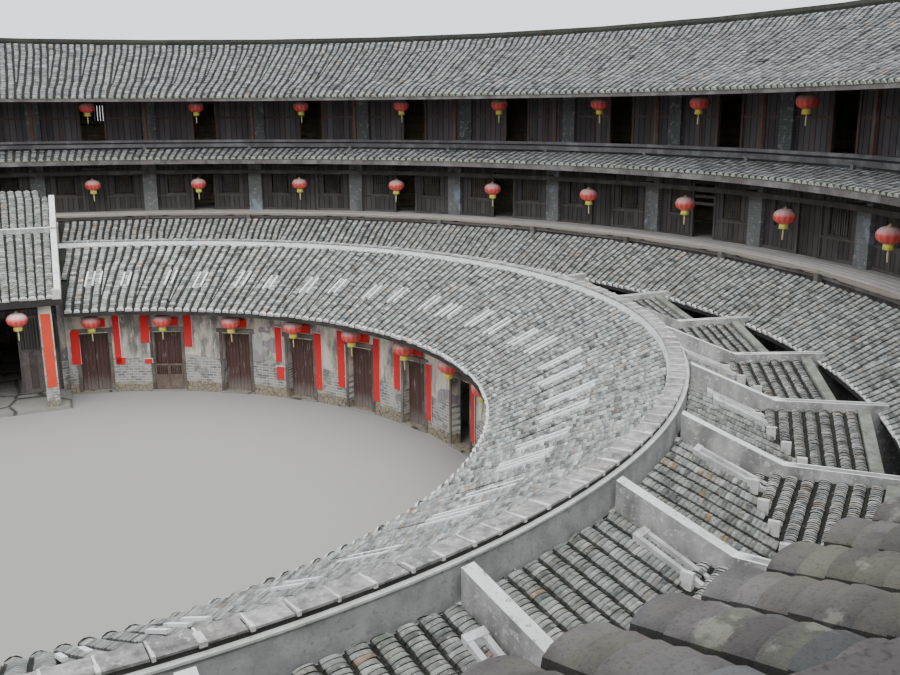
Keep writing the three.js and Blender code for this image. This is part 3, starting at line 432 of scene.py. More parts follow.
# Near-black timber that stands for shade: painted shadow under the eaves, in the gallery rail's slot and
# under the ridge slabs.
SHADOW_TIMBER = timber_material("painted_shadow_timber", (0.02, 0.018, 0.018), (0.06, 0.055, 0.055), (0.09, 0.085, 0.085))
EDGE_BOARDS = timber_material("edge_boards", (0.24, 0.205, 0.165), (0.44, 0.385, 0.315), (0.3, 0.27, 0.24))
JAMBS = timber_material("door_jambs", (0.06, 0.05, 0.046), (0.21, 0.18, 0.16), (0.38, 0.355, 0.32), 0.55)
GREY_WOOD = timber_material("grey_wood", (0.085, 0.072, 0.066), (0.24, 0.21, 0.195), (0.34, 0.325, 0.32),
                            0.55)
RAILS = timber_material("rail_timber", (0.06, 0.057, 0.06), (0.175, 0.168, 0.172), (0.27, 0.27, 0.275), 0.6)
BLEACHED = timber_material("bleached_boards", (0.4, 0.35, 0.345), (0.62, 0.57, 0.57), (0.72, 0.69, 0.69), 0.6)
GATE_WOOD = timber_material("gate_wood", (0.12, 0.085, 0.066), (0.31, 0.23, 0.185), (0.34, 0.31, 0.285), 0.5)
COURT_WALL = court_wall_material()
PIERS_3 = pier_material("third_floor_piers", (0.16, 0.16, 0.155), (0.24, 0.235, 0.22), (0.3, 0.3, 0.29),
                        (0.215, 0.222, 0.226), 0.6)
PIERS_4 = pier_material("top_floor_piers", (0.15, 0.155, 0.155), (0.21, 0.21, 0.205), (0.28, 0.28, 0.275),
                        (0.185, 0.2, 0.2))
EARTH = earth_material()
STONE = stone_material("footing_stone", (0.38, 0.355, 0.3), (0.2, 0.185, 0.165), 3.2)
SLATE = stone_material("dressed_stone", (0.34, 0.335, 0.3), (0.24, 0.235, 0.21), 1.1)
DOOR = door_material()
RED = cloth_material("lantern_red", (0.96, 0.14, 0.12), (0.78, 0.08, 0.068), (1.0, 0.82, 0.8))
GOLD = cloth_material("lantern_band", (0.8, 0.82, 0.1), (0.66, 0.68, 0.08), (0.92, 0.92, 0.4))
BRASS = cloth_material("lantern_knob", (0.62, 0.42, 0.12), (0.5, 0.34, 0.1), (0.8, 0.65, 0.35))
TASSEL = cloth_material("lantern_tassel", (0.86, 0.8, 0.5), (0.7, 0.62, 0.3), (0.9, 0.88, 0.7))
PAPER = paper_material("red_paper", (0.8, 0.03, 0.03))
ORANGE_PAPER = paper_material("orange_paper", (0.85, 0.08, 0.035))


# Meshes from arrays

def make_piece(name, points, faces, material, body="root", smooth=None, marks=(), mend=False):
    """A mesh from arrays. marks are values of each face; its "material" is the index in a material list."""
    mesh = bpy.data.meshes.new(name)
    faces = faces.tolist() if isinstance(faces, np.ndarray) else faces
    mesh.from_pydata(np.asarray(points, dtype=float), [], faces)
    for one in material if isinstance(material, list) else [material]:
        mesh.materials.append(one)
    marks = dict(marks)
    if "material" in marks:
        mesh.polygons.foreach_set("material_index", np.asarray(marks.pop("material"), dtype=np.int32))
    for key, values in marks.items():
        data = mesh.attributes.new(key, "FLOAT", "FACE").data
        data.foreach_set("value", np.asarray(values, dtype=np.float32))
    if smooth is not None:
        mesh.polygons.foreach_set("use_smooth", np.asarray(smooth, dtype=bool))
    if mend:
        turn_out(mesh)
    mesh.update()
    piece = bpy.data.objects.new(name, mesh)
    bpy.context.scene.collection.objects.link(piece)
    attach(piece, body)
    return piece


def turn_out(mesh):
    """Turns the faces of closed bodies outwards."""
    work = bmesh.new()
    work.from_mesh(mesh)
    bmesh.ops.recalc_face_normals(work, faces=work.faces)
    work.to_mesh(mesh)
    work.free()


def unit(vectors):
    return vectors / np.linalg.norm(vectors, axis=-1, keepdims=True)


def about(middle, half):
    """A span from its middle."""
    return middle - half, middle + half


def to_world(bay, x, y, z):
    """Points of a bay frame in the row frame. The bay may be an array."""
    a = np.asarray(bay) * BAY
    return np.stack([x * np.cos(a) + y * np.sin(a), -x * np.sin(a) + y * np.cos(a), z + 0 * x], -1)


def at_angle(a, r, z):
    return np.stack([r * np.sin(a), r * np.cos(a), z + 0 * r], -1)


def hall_x(y):
    return HALL_HALF + HALL_FLARE * (y - HALL_AT)


def hall_angle(r, margin):
    """Where a circle meets the side of the hall."""
    level = HALL_HALF - HALL_FLARE * HALL_AT + margin
    return math.atan(HALL_FLARE) + math.asin(level / (r * math.hypot(1, HALL_FLARE)))


def outside_hall(margin):
    return lambda p: ~((np.abs(p[:, 0]) < hall_x(p[:, 1]) + margin) & (p[:, 1] > 0))


def clear_of_hall(bay, x, y, margin):
    return outside_hall(margin)(to_world(bay, x, y, 0.0)[None])[0]


HALL_GAP = 0.003        # between the hall and the ends of a ring that is cut there


def ring_piece(name, profile, material, steps=BAYS, cut_at_hall=False):
    """A ring of a closed outline of (radius, height). Thirty steps put its corners at the piers."""
    n = len(profile)
    points = []
    if cut_at_hall:
        for share in np.linspace(0, 1, steps + 1):
            for r, z in profile:
                first = hall_angle(r, HALL_GAP)
                a = first + share * 2 * (math.pi - first)
                points.append((r * math.sin(a), r * math.cos(a), z))
    else:
        for i in range(steps):
            a = TURN * i / steps + (HALF if steps == BAYS else 0)
            points.extend((r * math.sin(a), r * math.cos(a), z) for r, z in profile)
    faces, tones = [], []
    for i in range(steps):
        after = i + 1 if cut_at_hall else (i + 1) % steps
        tones += [rng.uniform()] * n
        for k in range(n):
            m = (k + 1) % n
            faces.append([i * n + k, i * n + m, after * n + m, after * n + k])
    if cut_at_hall:
        faces += [list(range(n)), [steps * n + k for k in reversed(range(n))]]
        tones += [0.5, 0.5]
    return make_piece(name, points, faces, material, marks={"tone": tones}, mend=True)


def band(name, r, z, material, steps=BAYS, cut_at_hall=False):
    """A ring with a rectangle as its outline, from spans of radius and height."""
    outline = [(r[0], z[0]), (r[1], z[0]), (r[1], z[1]), (r[0], z[1])]
    return ring_piece(name, outline, material, steps, cut_at_hall)


BOX_FACES = np.array([[0, 1, 3, 2], [4, 6, 7, 5], [0, 4, 5, 1], [2, 3, 7, 6], [0, 2, 6, 4], [1, 5, 7, 3]])
SKIN = 0.001            # between a wall and the thin boxes on it


class Boxes:
    """Many boxes in one mesh, each given by its spans in a bay frame."""

    def __init__(self):
        self.points, self.tones = [], []

    def add(self, bay, x, y, z, tone=None, lean=0.0, taper=1.0, rise=None):
        """lean moves the top across the bay, taper narrows it, and rise(x, y) is added to the heights."""
        middle, half = (x[0] + x[1]) / 2, (x[1] - x[0]) / 2
        for side in (-1, 1):
            for out in y:
                for up, height in enumerate(z):
                    across = middle + side * half * (taper if up else 1.0) + lean * up
                    level = height + (rise(across, out) if rise else 0.0)
                    self.points.append(to_world(bay, across, out, level))
        self.tones.append(rng.uniform() if tone is None else tone)

    def on_face(self, bay, x, face, thick, z):
        """A thin box on the court side of a wall."""
        self.add(bay, x, (face - thick, face - SKIN), z)

    def build(self, name, material, slot):
        count = len(self.tones)
        quads = (np.arange(count)[:, None, None] * 8 + BOX_FACES).reshape(-1, 4)
        marks = {"tone": np.repeat(self.tones, 6), "hue": np.repeat(rng.uniform(0, 1, count), 6),
                 "shade": np.ones(6 * count)}
        make_piece(name, self.points, quads, material, marks=marks)


# Half-round tiles

EDGE_SHADE, LIP_SHADE = 0.26, 0.13       # painted shade at the sides of a tile and under its lip
JITTER = 0.05           # spread of the widths of tiles, and half that of their heights
NARROWING = 0.93        # width of a tile's upper end over that of its lower end
TONE_SPREAD = 0.24


class Rolls:
    """Courses of half-round tiles. Each is a short tapered arch with a lip at its lower end."""

    def __init__(self, segments, box=0.75):
        side = math.radians(42 if segments == 3 else 24)
        self.turns = np.r_[0, np.linspace(side, math.pi - side, segments - 1), math.pi]
        self.box = box          # under 1 makes the arch fuller at its shoulders
        self.parts = []

    def add(self, low, high, normal, wide, tall, lip):
        """Arrays of lower and upper end points and of normals, and the half width and height of a tile."""
        count = len(low)
        along = unit(high - low)
        across = unit(np.cross(along, normal))
        up = np.cross(across, along)
        cos = np.cos(self.turns)[None, :, None]
        sin = (np.sin(self.turns) ** self.box)[None, :, None]
        wide = wide * (1 + rng.uniform(-JITTER, JITTER, (count, 1, 1)))
        tall = tall * (1 + rng.uniform(-2 * JITTER, 2 * JITTER, (count, 1, 1)))
        across, up = across[:, None, :], up[:, None, :]

        def arc(centre, w, t):
            return centre[:, None, :] + across * w * cos + up * t * sin

        outer = arc(low, wide, tall + lip)
        upper = arc(high, wide * NARROWING, tall)
        inner = arc(low, wide - lip * 0.8, tall - lip * 0.4)
        self.parts.append(np.stack([outer, upper, inner], 1))

    def build(self, name, material):
        points = np.concatenate(self.parts)
        count, _, n, _ = points.shape
        sides = n - 1
        base = (np.arange(count) * 3 * n)[:, None]
        outer, upper, inner = (base + row * n + np.arange(sides) for row in range(3))
        top = np.stack([outer, upper, upper + 1, outer + 1], -1)
        lips = np.stack([outer, outer + 1, inner + 1, inner], -1)
        quads = np.concatenate([top, lips], 1).reshape(-1, 4)
        tone = np.clip(0.5 + rng.normal(0, TONE_SPREAD, count), 0, 1)
        # Painted shade: the outermost facets and the lips get darker shade marks.
        edges = np.ones(sides)
        edges[[0, -1]] = EDGE_SHADE
        marks = {"tone": np.repeat(tone, 2 * sides), "hue": np.repeat(rng.uniform(0, 1, count), 2 * sides),
                 "shade": np.tile(np.r_[edges, np.full(sides, LIP_SHADE)], count)}
        smooth = np.tile(np.r_[np.ones(sides), np.zeros(sides)], count)
        make_piece(name, points.reshape(-1, 3), quads, material, smooth=smooth, marks=marks)


PLUG_DROP, PLUG_INSIDE = 0.008, 0.012    # below the tile's foot, and up into its end


def plugs(name, ends, material, wide, tall, long, steps=6):
    """Half-round stops of mortar in the lower ends of the rolls."""
    low, high, normal = (np.array([end[i] for end in ends]) for i in range(3))
    count = len(low)
    along = unit(high - low)
    across = unit(np.cross(along, normal))
    up = np.cross(across, along)
    turns = np.linspace(0, math.pi, steps)
    size = rng.uniform(0.90, 1.12, (count, 1, 1))
    arch = across[:, None, :] * wide * np.cos(turns)[None, :, None]
    arch = arch + up[:, None, :] * tall * (np.sin(turns) ** 0.8)[None, :, None]
    foot = low - up * PLUG_DROP
    front = foot - along * long * rng.uniform(0.6, 1.2, (count, 1))
    rear = foot + along * PLUG_INSIDE
    points = np.concatenate([front[:, None] + arch * size * 0.94, rear[:, None] + arch * size], 1)
    faces = []
    for b in range(0, count * 2 * steps, 2 * steps):
        faces.append([b + k for k in range(steps)])
        faces.extend([b + k, b + steps + k, b + steps + k + 1, b + k + 1] for k in range(steps - 1))
    make_piece(name, points.reshape(-1, 3), faces, material)


class Columns:
    """Columns of tiles round the ring. More of them start on the way up, where the ring is wider."""

    def __init__(self, at_eave, at_top, starts=(0.0, 0.15), widening=0.60):
        extra = at_top - at_eave
        self.starts = np.zeros(at_top)
        self.inserted = np.zeros(at_top, dtype=bool)
        places = np.round((np.arange(extra) + 0.5) * at_top / extra).astype(int) % at_top
        self.inserted[places] = True
        self.starts[places] = rng.uniform(*starts, extra)
        self.widening = widening

    def at(self, share):
        """Angles of the middles, and shares of a whole turn, at a share of the slope."""
        grown = np.clip((share - self.starts) / self.widening, 0, 1)
        weight = np.where(self.inserted, grown, 1.0)
        edge = np.cumsum(weight)
        return TURN * (edge - weight / 2) / edge[-1], TURN * weight / edge[-1]


class NearColumns:
    """The waist roof: wide tiles within an arc, and narrower ones round the rest of the ring."""

    def __init__(self, first, last, pitch, others):
        narrow = (TURN - last + first) / others
        wide = np.arange(first + pitch / 2, last, pitch)
        self.middles = np.r_[wide, last + (np.arange(others) + 0.5) * narrow]
        self.widths = np.r_[np.full(len(wide), pitch * 1.13), np.full(others, narrow)]
        self.starts = np.zeros(len(self.middles))

    def at(self, share):
        return self.middles, self.widths


def in_arc(a, arc):
    return (np.mod(a - arc[0], TURN) < arc[1] - arc[0]) if arc else np.ones(len(a), dtype=bool)


TILE_SHARE = 0.415      # half the width of a tile over the pitch of its column
PHASE, UNEVEN = 0.8, 0.08           # how far a column is out of step, and a tile in it, in courses
NARROWEST = 0.25 * BAY / 16         # a column that is narrower than this gets no tile yet
LAP = 1.15              # length of a tile over its course


def cone_rolls(rolls, columns, low, high, course, tall, keep=None, lip=0.008, arc=None):
    """Rolls on a cone from (radius, height) at the eave to the same at the top. Returns the lower ends."""
    length = math.hypot(high[0] - low[0], high[1] - low[1])
    slope_r, slope_z = (high[0] - low[0]) / length, (high[1] - low[1]) / length
    phase = rng.uniform(0, PHASE, len(columns.starts))
    ends = []
    for i in range(int(length / course)):
        share = np.full((2, len(phase)), i * course / length)
        share += (phase + rng.uniform(-UNEVEN, UNEVEN, len(phase))) * course / length * (i > 0)
        share[1] = np.minimum(share[1] + LAP * course * (1 + phase * (i == 0)) / length, 1)
        lower, width = columns.at(i * course / length)
        upper, _ = columns.at(min(1, (i + LAP) * course / length))
        kept = in_arc(lower, arc) & (width > NARROWEST) & (columns.starts <= share[0])
        r = low[0] + (high[0] - low[0]) * share
        z = low[1] + (high[1] - low[1]) * share
        lows, highs = at_angle(lower, r[0], z[0]), at_angle(upper, r[1], z[1])
        if keep:
            kept &= keep(lows)
        normal = at_angle(lower, np.full(len(lower), -slope_z), slope_r)
        wide = (TILE_SHARE * width * r[0])[kept][:, None, None]
        grown = np.minimum(1, wide / wide.max()) if kept.any() else 1
        rolls.add(lows[kept], highs[kept], normal[kept], wide, tall * grown, lip)
        if i == 0:
            ends = list(zip(lows[kept], highs[kept], normal[kept]))
    return ends


SMOOTH = 240            # steps of the round rings
BED = 0.004             # how far the round roof sheets lie over the frame's slabs
SHEET = 0.02            # thickness of those sheets


class Cone:
    """A round roof, which touches the frame's slabs in the middle of each bay."""

    def __init__(self, eave, slope):
        self.eave, self.slope = eave, slope
        self.r = eave[0] * COS

    def slab(self, r):
        return self.eave[1] + self.slope * (r / COS - self.eave[0])

    def z(self, r):
        return self.slab(r) + BED

    def at(self, r):
        return r, self.z(r)

    # A sheet under the rolls; in the trough material it is near-black, painted shade between them.
    def bed(self, name, r0, r1, material, cut_at_hall=False):
        profile = [(r0, self.z(r0) - SHEET), (r1, self.z(r1) - SHEET), self.at(r1), self.at(r0)]
        ring_piece(name, profile, material, SMOOTH, cut_at_hall)

    def board(self, name, material, inset, thick, low, high, cut_at_hall=False):
        """A board on edge that closes the eave all round."""
        r, z = self.r - inset, self.z(self.r)
        band(name, (r, r + thick), (z - low, z - high), material, SMOOTH, cut_at_hall)


MAIN = Cone(MAIN_EAVE, MAIN_SLOPE)
WAIST = Cone((0.918 * R, 3.908), 0.259)
LOWER = Cone((0.844 * R, 2.053), 0.535)
FRONT = Cone((0.503 * R, 1.57), 0.479)


# Roofs of the outer ring

NEAR_LAST = math.radians(206)           # the waist roof is seen from close by up to here
NEAR_PITCH = math.radians(1.132)
NEAR_FIRST = math.radians(171.33 - 0.566) - 19 * NEAR_PITCH
FINE_ARC = (math.radians(50), math.radians(185))        # finer courses on this side
MAIN_BED_R, MAIN_TILES_R = 12.60, 12.52

# Columns of tiles on the whole ring, at the eave and at the top
MAIN_COLUMNS, LOWER_COLUMNS, FRONT_COLUMNS = (435, 545), (432, 458), (248, 304)
WAIST_FAR_COLUMNS = 372


def dress_main_roof():
    MAIN.bed("main_roof_bed", MAIN.r - 0.02, MAIN_BED_R, TROUGHS_AND_SHADE)
    inner = Rolls(3)
    ends = cone_rolls(inner, Columns(*MAIN_COLUMNS, (0.0, 0.3), 0.70), MAIN.at(MAIN.r - 0.026),
                      MAIN.at(MAIN_TILES_R), course=0.098, tall=0.036)
    inner.build("main_tiles_court", MAIN_TILES)
    plugs("main_eave_mortar", ends, DULL_MORTAR, wide=0.056, tall=0.046, long=0.012, steps=5)
    MAIN.board("main_eave_board", FASCIA, inset=0.020, thick=0.018, low=0.086, high=0.022)
    dress_outer_slope((MAIN_OUTER_R, MAIN_RIDGE[1] - MAIN_SLOPE * (MAIN_OUTER_R - MAIN_RIDGE[0])))
    dress_main_ridge()


OUTER_EDGE = 0.036          # keeps the lowest tiles within the frame's own outline
OUTER_COURSE, OUTER_A_BAY = 0.150, 16


def dress_outer_slope(eave):
    """The outer slope keeps the flat planes of the frame's bays."""
    rolls, ends = Rolls(3), []
    y0, y1 = eave[0] * COS, MAIN_RIDGE[0] * COS
    length = math.hypot(y1 - y0, MAIN_RIDGE[1] - eave[1])
    count = int(length / OUTER_COURSE)
    normal = np.array([0.0, MAIN_RIDGE[1] - eave[1], y0 - y1]) / length
    for bay in ALL_BAYS:
        turned = to_world(bay, *normal)
        for k in range(OUTER_A_BAY):
            across = (2 * k + 1) / OUTER_A_BAY - 1
            s = (np.arange(count) + rng.uniform(-0.07, 0.07, count)) * OUTER_COURSE
            s = np.maximum(s, OUTER_EDGE)
            share = np.stack([s, np.minimum(s + OUTER_COURSE * LAP, length)]) / length
            y = y0 + (y1 - y0) * share
            z = eave[1] + (MAIN_RIDGE[1] - eave[1]) * share
            low, high = (to_world(bay, across * y[i] * TAN, y[i], z[i]) for i in (0, 1))
            rolls.add(low, high, np.broadcast_to(turned, low.shape), wide=0.066, tall=0.038, lip=0.010)
            ends.append((low[0], high[0], turned))
    rolls.build("main_tiles_outer", MAIN_TILES)
    plugs("main_outer_mortar", ends, DULL_MORTAR, wide=0.058, tall=0.050, long=0.010, steps=5)


RIDGE_TILES_A_BAY = 44


def dress_main_ridge():
    """Tiles stood on edge along the ridge."""
    tiles = Boxes()
    top = MAIN_RIDGE[1] + 0.09
    y = MAIN_RIDGE[0] * COS
    half = y * TAN
    for bay in ALL_BAYS:
        for k in range(RIDGE_TILES_A_BAY):
            x = (2 * k + 1) / RIDGE_TILES_A_BAY * half - half
            wide = half / RIDGE_TILES_A_BAY * 0.8
            tiles.add(bay, about(x, wide), about(y, 0.045), (top - 0.10, top - 0.002), lean=0.010)
    tiles.build("main_ridge_tiles", MAIN_TILES, "roof_tile")


def dress_waist():
    top_r = WAIST_END_R * COS - 0.03
    WAIST.bed("waist_bed", WAIST.r - 0.016, WAIST_END_R * COS, RUBBLE_BED)
    start, foot = WAIST.at(WAIST.r - 0.022)
    low, high = (start, foot - 0.002), WAIST.at(top_r)
    last = NEAR_FIRST + round((NEAR_LAST - NEAR_FIRST) / NEAR_PITCH) * NEAR_PITCH
    columns = NearColumns(NEAR_FIRST, last, NEAR_PITCH, WAIST_FAR_COLUMNS)
    near, far = Rolls(8, 1.0), Rolls(3)
    near_ends = cone_rolls(near, columns, low, high, course=0.066, tall=0.038, lip=0.012,
                           arc=(NEAR_FIRST, last))
    far_ends = cone_rolls(far, columns, low, high, course=0.076, tall=0.034, lip=0.010,
                          arc=(last, NEAR_FIRST + TURN))
    near.build("waist_tiles_near", NEAR_TILES)
    far.build("waist_tiles_far", MAIN_TILES)
    plugs("waist_mortar_near", near_ends, RUBBLE_BED, wide=0.078, tall=0.040, long=0.004)
    plugs("waist_mortar_far", far_ends, DULL_MORTAR, wide=0.056, tall=0.044, long=0.010)
    WAIST.board("waist_eave_board", FASCIA, inset=0.018, thick=0.016, low=0.115, high=0.026)


COARSER = 1.9           # the far courses over the near ones


def two_grains(name, columns, low, high, course, tall, keep, material):
    """Rolls with fine courses within the arc that is seen from close by, and coarser ones elsewhere."""
    fine, coarse = Rolls(4), Rolls(3)
    rest = (FINE_ARC[1], FINE_ARC[0] + TURN)
    ends = cone_rolls(fine, columns, low, high, course, tall, keep, arc=FINE_ARC)
    ends += cone_rolls(coarse, columns, low, high, course * COARSER, tall, keep, arc=rest)
    fine.build(name + "_near", material)
    coarse.build(name + "_far", material)
    return ends


def dress_lower():
    end = LOWER_END_R * COS
    LOWER.bed("lower_bed", LOWER.r - 0.01, end, TROUGHS_AND_SHADE, True)
    ends = two_grains("lower_tiles", Columns(*LOWER_COLUMNS), LOWER.at(LOWER.r - 0.016), LOWER.at(end),
                      course=0.046, tall=0.034, keep=outside_hall(0.05), material=TILES)
    plugs("lower_eave_mortar", ends, MORTAR, wide=0.054, tall=0.050, long=0.022)
    # Painted shadow: a near-black board under the lower eave.
    LOWER.board("lower_eave_board", SHADOW_TIMBER, inset=0.016, thick=0.014, low=0.080, high=0.020,
                cut_at_hall=True)


# Roofs of the inner ring

def dress_inner_front():
    end = RIDGE_INNER_R * COS - 0.005
    FRONT.bed("inner_front_bed", FRONT.r - 0.008, end + 0.02, TROUGHS_AND_SHADE, True)
    ends = two_grains("inner_front_tiles", Columns(*FRONT_COLUMNS), FRONT.at(FRONT.r + 0.006), FRONT.at(end),
                      course=0.038, tall=0.034, keep=outside_hall(0.04), material=FRONT_TILES)
    plugs("inner_eave_mortar", ends, MORTAR, wide=0.060, tall=0.054, long=0.026)
    # Painted shadow: a near-black board under the inner eave.
    FRONT.board("front_eave_board", SHADOW_TIMBER, inset=0.010, thick=0.009, low=0.078, high=0.020,
                cut_at_hall=True)


SKYLIGHT_LOW, SKYLIGHT_HIGH = 0.5508 * R, 0.5903 * R
SKYLIGHT_ASIDE = math.radians(2.5)


def front_rise(_, y):
    return FRONT.eave[1] + FRONT.slope / COS * (y - FRONT.eave[0] * COS)


def dress_skylights():
    """Pairs of pale strips beside each party wall, on the court slope."""
    strips = Boxes()
    for k in range(1, BAYS - 1):
        for side in (-1, 1):
            bay = (k * BAY + HALF + side * SKYLIGHT_ASIDE) / BAY
            if not clear_of_hall(bay, 0.0, SKYLIGHT_LOW, 0.15):
                continue
            count = 3 if rng.uniform() < 0.15 else 2
            shift = rng.uniform(-0.06, 0.06)
            long = rng.uniform(-0.13, -0.02) + (0.12 if k > 8 else 0)
            spacing = rng.uniform(0.105, 0.130)
            for i in range(count):
                x = (i - (count - 1) / 2) * spacing
                y = (SKYLIGHT_LOW + shift + 0.03 * i, SKYLIGHT_HIGH + shift + long)
                strips.add(bay, about(x, 0.016), y, (0.026, 0.052), rise=front_rise)
    strips.build("front_skylight_strips", STRIPS, "white_plaster")


WING_HALF = WING_END_R * math.sin(HALF)
WING_ACROSS = (WING_LOW_Z - WING_HIGH_Z) / (2 * WING_HALF)
WING_MIDDLE = (WING_HIGH_Z + WING_LOW_Z) / 2
RIDGE_FLAT = RIDGE_OUTER_R * COS
WING_FLAT = WING_END_R * COS
PLAIN_BAYS = range(1, BAYS)
FINE_BAYS = range(6, 16)


def back_z(y):
    return BACK_TOP_Z - BACK_SLOPE * (y - RIDGE_FLAT)


def wing_z(x):
    return WING_MIDDLE + WING_ACROSS * x


def valley_x(y):
    return (back_z(y) - WING_MIDDLE) / WING_ACROSS


def wall_x(y):
    """The side of a party wall."""
    return y * TAN - PARTY_HALF / COS


def dress_side_beds():
    """Troughs on the back slopes and the wings, one fold of sheet in each bay, near-black with painted shade
    between the rolls.
    """
    points, faces = [], []
    rows = np.linspace(RIDGE_FLAT + 0.006, WING_FLAT - 0.012, 12)
    for bay in PLAIN_BAYS:
        start = len(points)
        for y in rows:
            wall = wall_x(y) - 0.003
            fold = float(np.clip(valley_x(y), -wall, wall))
            for x in (-wall, fold, wall):
                points.append(to_world(bay, x, y, max(back_z(y), wing_z(x)) + BED))
        for b in range(start, len(points) - 3, 3):
            faces += [[b + k, b + k + 1, b + k + 4, b + k + 3] for k in (0, 1)]
    keep = outside_hall(-0.02)
    points = np.array(points)
    faces = [face for face in faces if keep(points[face]).all()]
    make_piece("side_roof_beds", points, faces, TROUGHS_AND_SHADE)


BACK_A_BAY, BACK_SPREAD = 10, 0.945


def dress_backs():
    """The slope behind the ridge, down to the valley where it meets the side wing."""
    near, far = Rolls(6, 0.7), Rolls(3)
    slope = np.array([0.0, BACK_SLOPE, 1.0]) / math.hypot(1, BACK_SLOPE)
    clear = outside_hall(0.06)
    for bay in PLAIN_BAYS:
        rolls, course = (near, 0.034) if bay in FINE_BAYS else (far, 0.075)
        step = course / math.hypot(1, BACK_SLOPE)
        for k in range(BACK_A_BAY):
            u = ((2 * k + 1) / BACK_A_BAY - 1) * BACK_SPREAD
            valley = BACK_TOP_Z + BACK_SLOPE * RIDGE_FLAT - WING_MIDDLE
            valley /= BACK_SLOPE + WING_ACROSS * u * TAN
            y_end = min(valley, WING_FLAT) - 0.02
            y = y_end - (np.arange(int((y_end - RIDGE_FLAT) / step) + 1) + rng.uniform(0, 0.6)) * step
            y = y[y > RIDGE_FLAT]
            x = u * y * TAN + rng.uniform(-0.003, 0.003, len(y))
            upper = np.maximum(y - step * 1.18, RIDGE_FLAT)
            low = to_world(bay, x, y, back_z(y) + BED)
            high = to_world(bay, u * upper * TAN, upper, back_z(upper) + BED)
            kept = clear(low)
            if kept.any():
                normal = np.broadcast_to(to_world(bay, *slope), low.shape)[kept]
                wide = (0.41 * 2 * y * TAN / BACK_A_BAY)[kept][:, None, None]
                rolls.add(low[kept], high[kept], normal, wide=wide, tall=0.028, lip=0.009)
    near.build("inner_back_tiles_near", BACK_TILES)
    far.build("inner_back_tiles_far", BACK_TILES)


WING_COLUMNS, WING_FIRST_Y = 9, 8.13


def dress_wings():
    """The side wing of each bay falls from one party wall to the valley or to the next wall."""
    near, far, blocks = Rolls(5, 0.7), Rolls(3), Boxes()
    normal = np.array([-WING_ACROSS, 0.0, 1.0]) / math.hypot(1, WING_ACROSS)
    clear = outside_hall(0.06)
    for bay in PLAIN_BAYS:
        rolls, course = (near, 0.026) if bay in FINE_BAYS else (far, 0.060)
        for y in np.linspace(WING_FIRST_Y, WING_FLAT - 0.170, WING_COLUMNS):
            wall, valley = wall_x(y), valley_x(y)
            x_low = min(valley, wall - 0.02)
            count = int((x_low + wall) / course)
            if 0.02 - wall < valley < wall - 0.02 and clear_of_hall(bay, x_low, y, 0.06):
                foot = wing_z(x_low)
                blocks.add(bay, (x_low - 0.02, x_low + 0.035), about(y, 0.042), (foot, foot + 0.108),
                           taper=0.7, lean=-0.006)
            if count < 2:
                continue
            x = x_low - (np.arange(count) + rng.uniform(0, 0.8)) * course
            low = to_world(bay, x, y + rng.uniform(-0.003, 0.003, count), wing_z(x) + BED)
            upper = np.maximum(x - course * 1.25, -wall)
            high = to_world(bay, upper, np.full(count, y), wing_z(upper) + BED)
            kept = clear(low) & (x > -wall + 0.012)
            if kept.any():
                turned = np.broadcast_to(to_world(bay, *normal), low.shape)[kept]
                rolls.add(low[kept], high[kept], turned, wide=0.0485, tall=0.030, lip=0.009)
    near.build("wing_tiles_near", WING_TILES)
    far.build("wing_tiles_far", WING_TILES)
    blocks.build("valley_blocks", MORTAR, "white_plaster")
    dress_wing_verges()


def dress_wing_verges():
    """A plaster slab closes the outer end of each wing."""
    slabs = Boxes()
    y = WING_FLAT - 0.004
    wall = wall_x(y) - 0.02
    for bay in PLAIN_BAYS:
        if clear_of_hall(bay, -wall, y, 0.05) and clear_of_hall(bay, wall, y, 0.05):
            slabs.add(bay, (-wall, wall), (y - 0.105, y), (-0.045, 0.050), rise=lambda x, _: wing_z(x))
    slabs.build("wing_verge_slabs", VERGE, "white_plaster")


CHANNEL_LOW, CHANNEL_HIGH = 0.698 * R, 0.742 * R
ONE_CHANNEL_FROM = 12   # the bays from here on have one pair of frames, not two


def back_rise(_, y):
    return back_z(y)


def dress_back_channels():
    """Pairs of long pale skylight frames on the back slopes, beside the party walls."""
    strips = Boxes()
    for bay in range(2, BAYS):
        for aside in ((1.35,) if bay >= ONE_CHANNEL_FROM else (0.95, 2.05)):
            shift = rng.uniform(-0.05, 0.05)
            y0, y1 = CHANNEL_LOW + shift, CHANNEL_HIGH + shift + rng.uniform(0, 0.12)
            middle = math.tan(math.radians(aside) - HALF) * (y0 + y1) / 2
            if not clear_of_hall(bay, middle, y0, 0.1):
                continue
            for side in (-1, 1):
                x = middle + side * (0.052 if bay >= ONE_CHANNEL_FROM else 0.030)
                strips.add(bay, about(x, 0.019), (y0, y1 + side * 0.03), (0.015, 0.070), rise=back_rise)
            strips.add(bay, about(middle, 0.075), (y0 - 0.045, y0 + 0.004), (0.015, 0.076), rise=back_rise)
    strips.build("back_skylight_frames", ROUGH_STRIPS, "white_plaster")


SLABS_A_BAY = 7


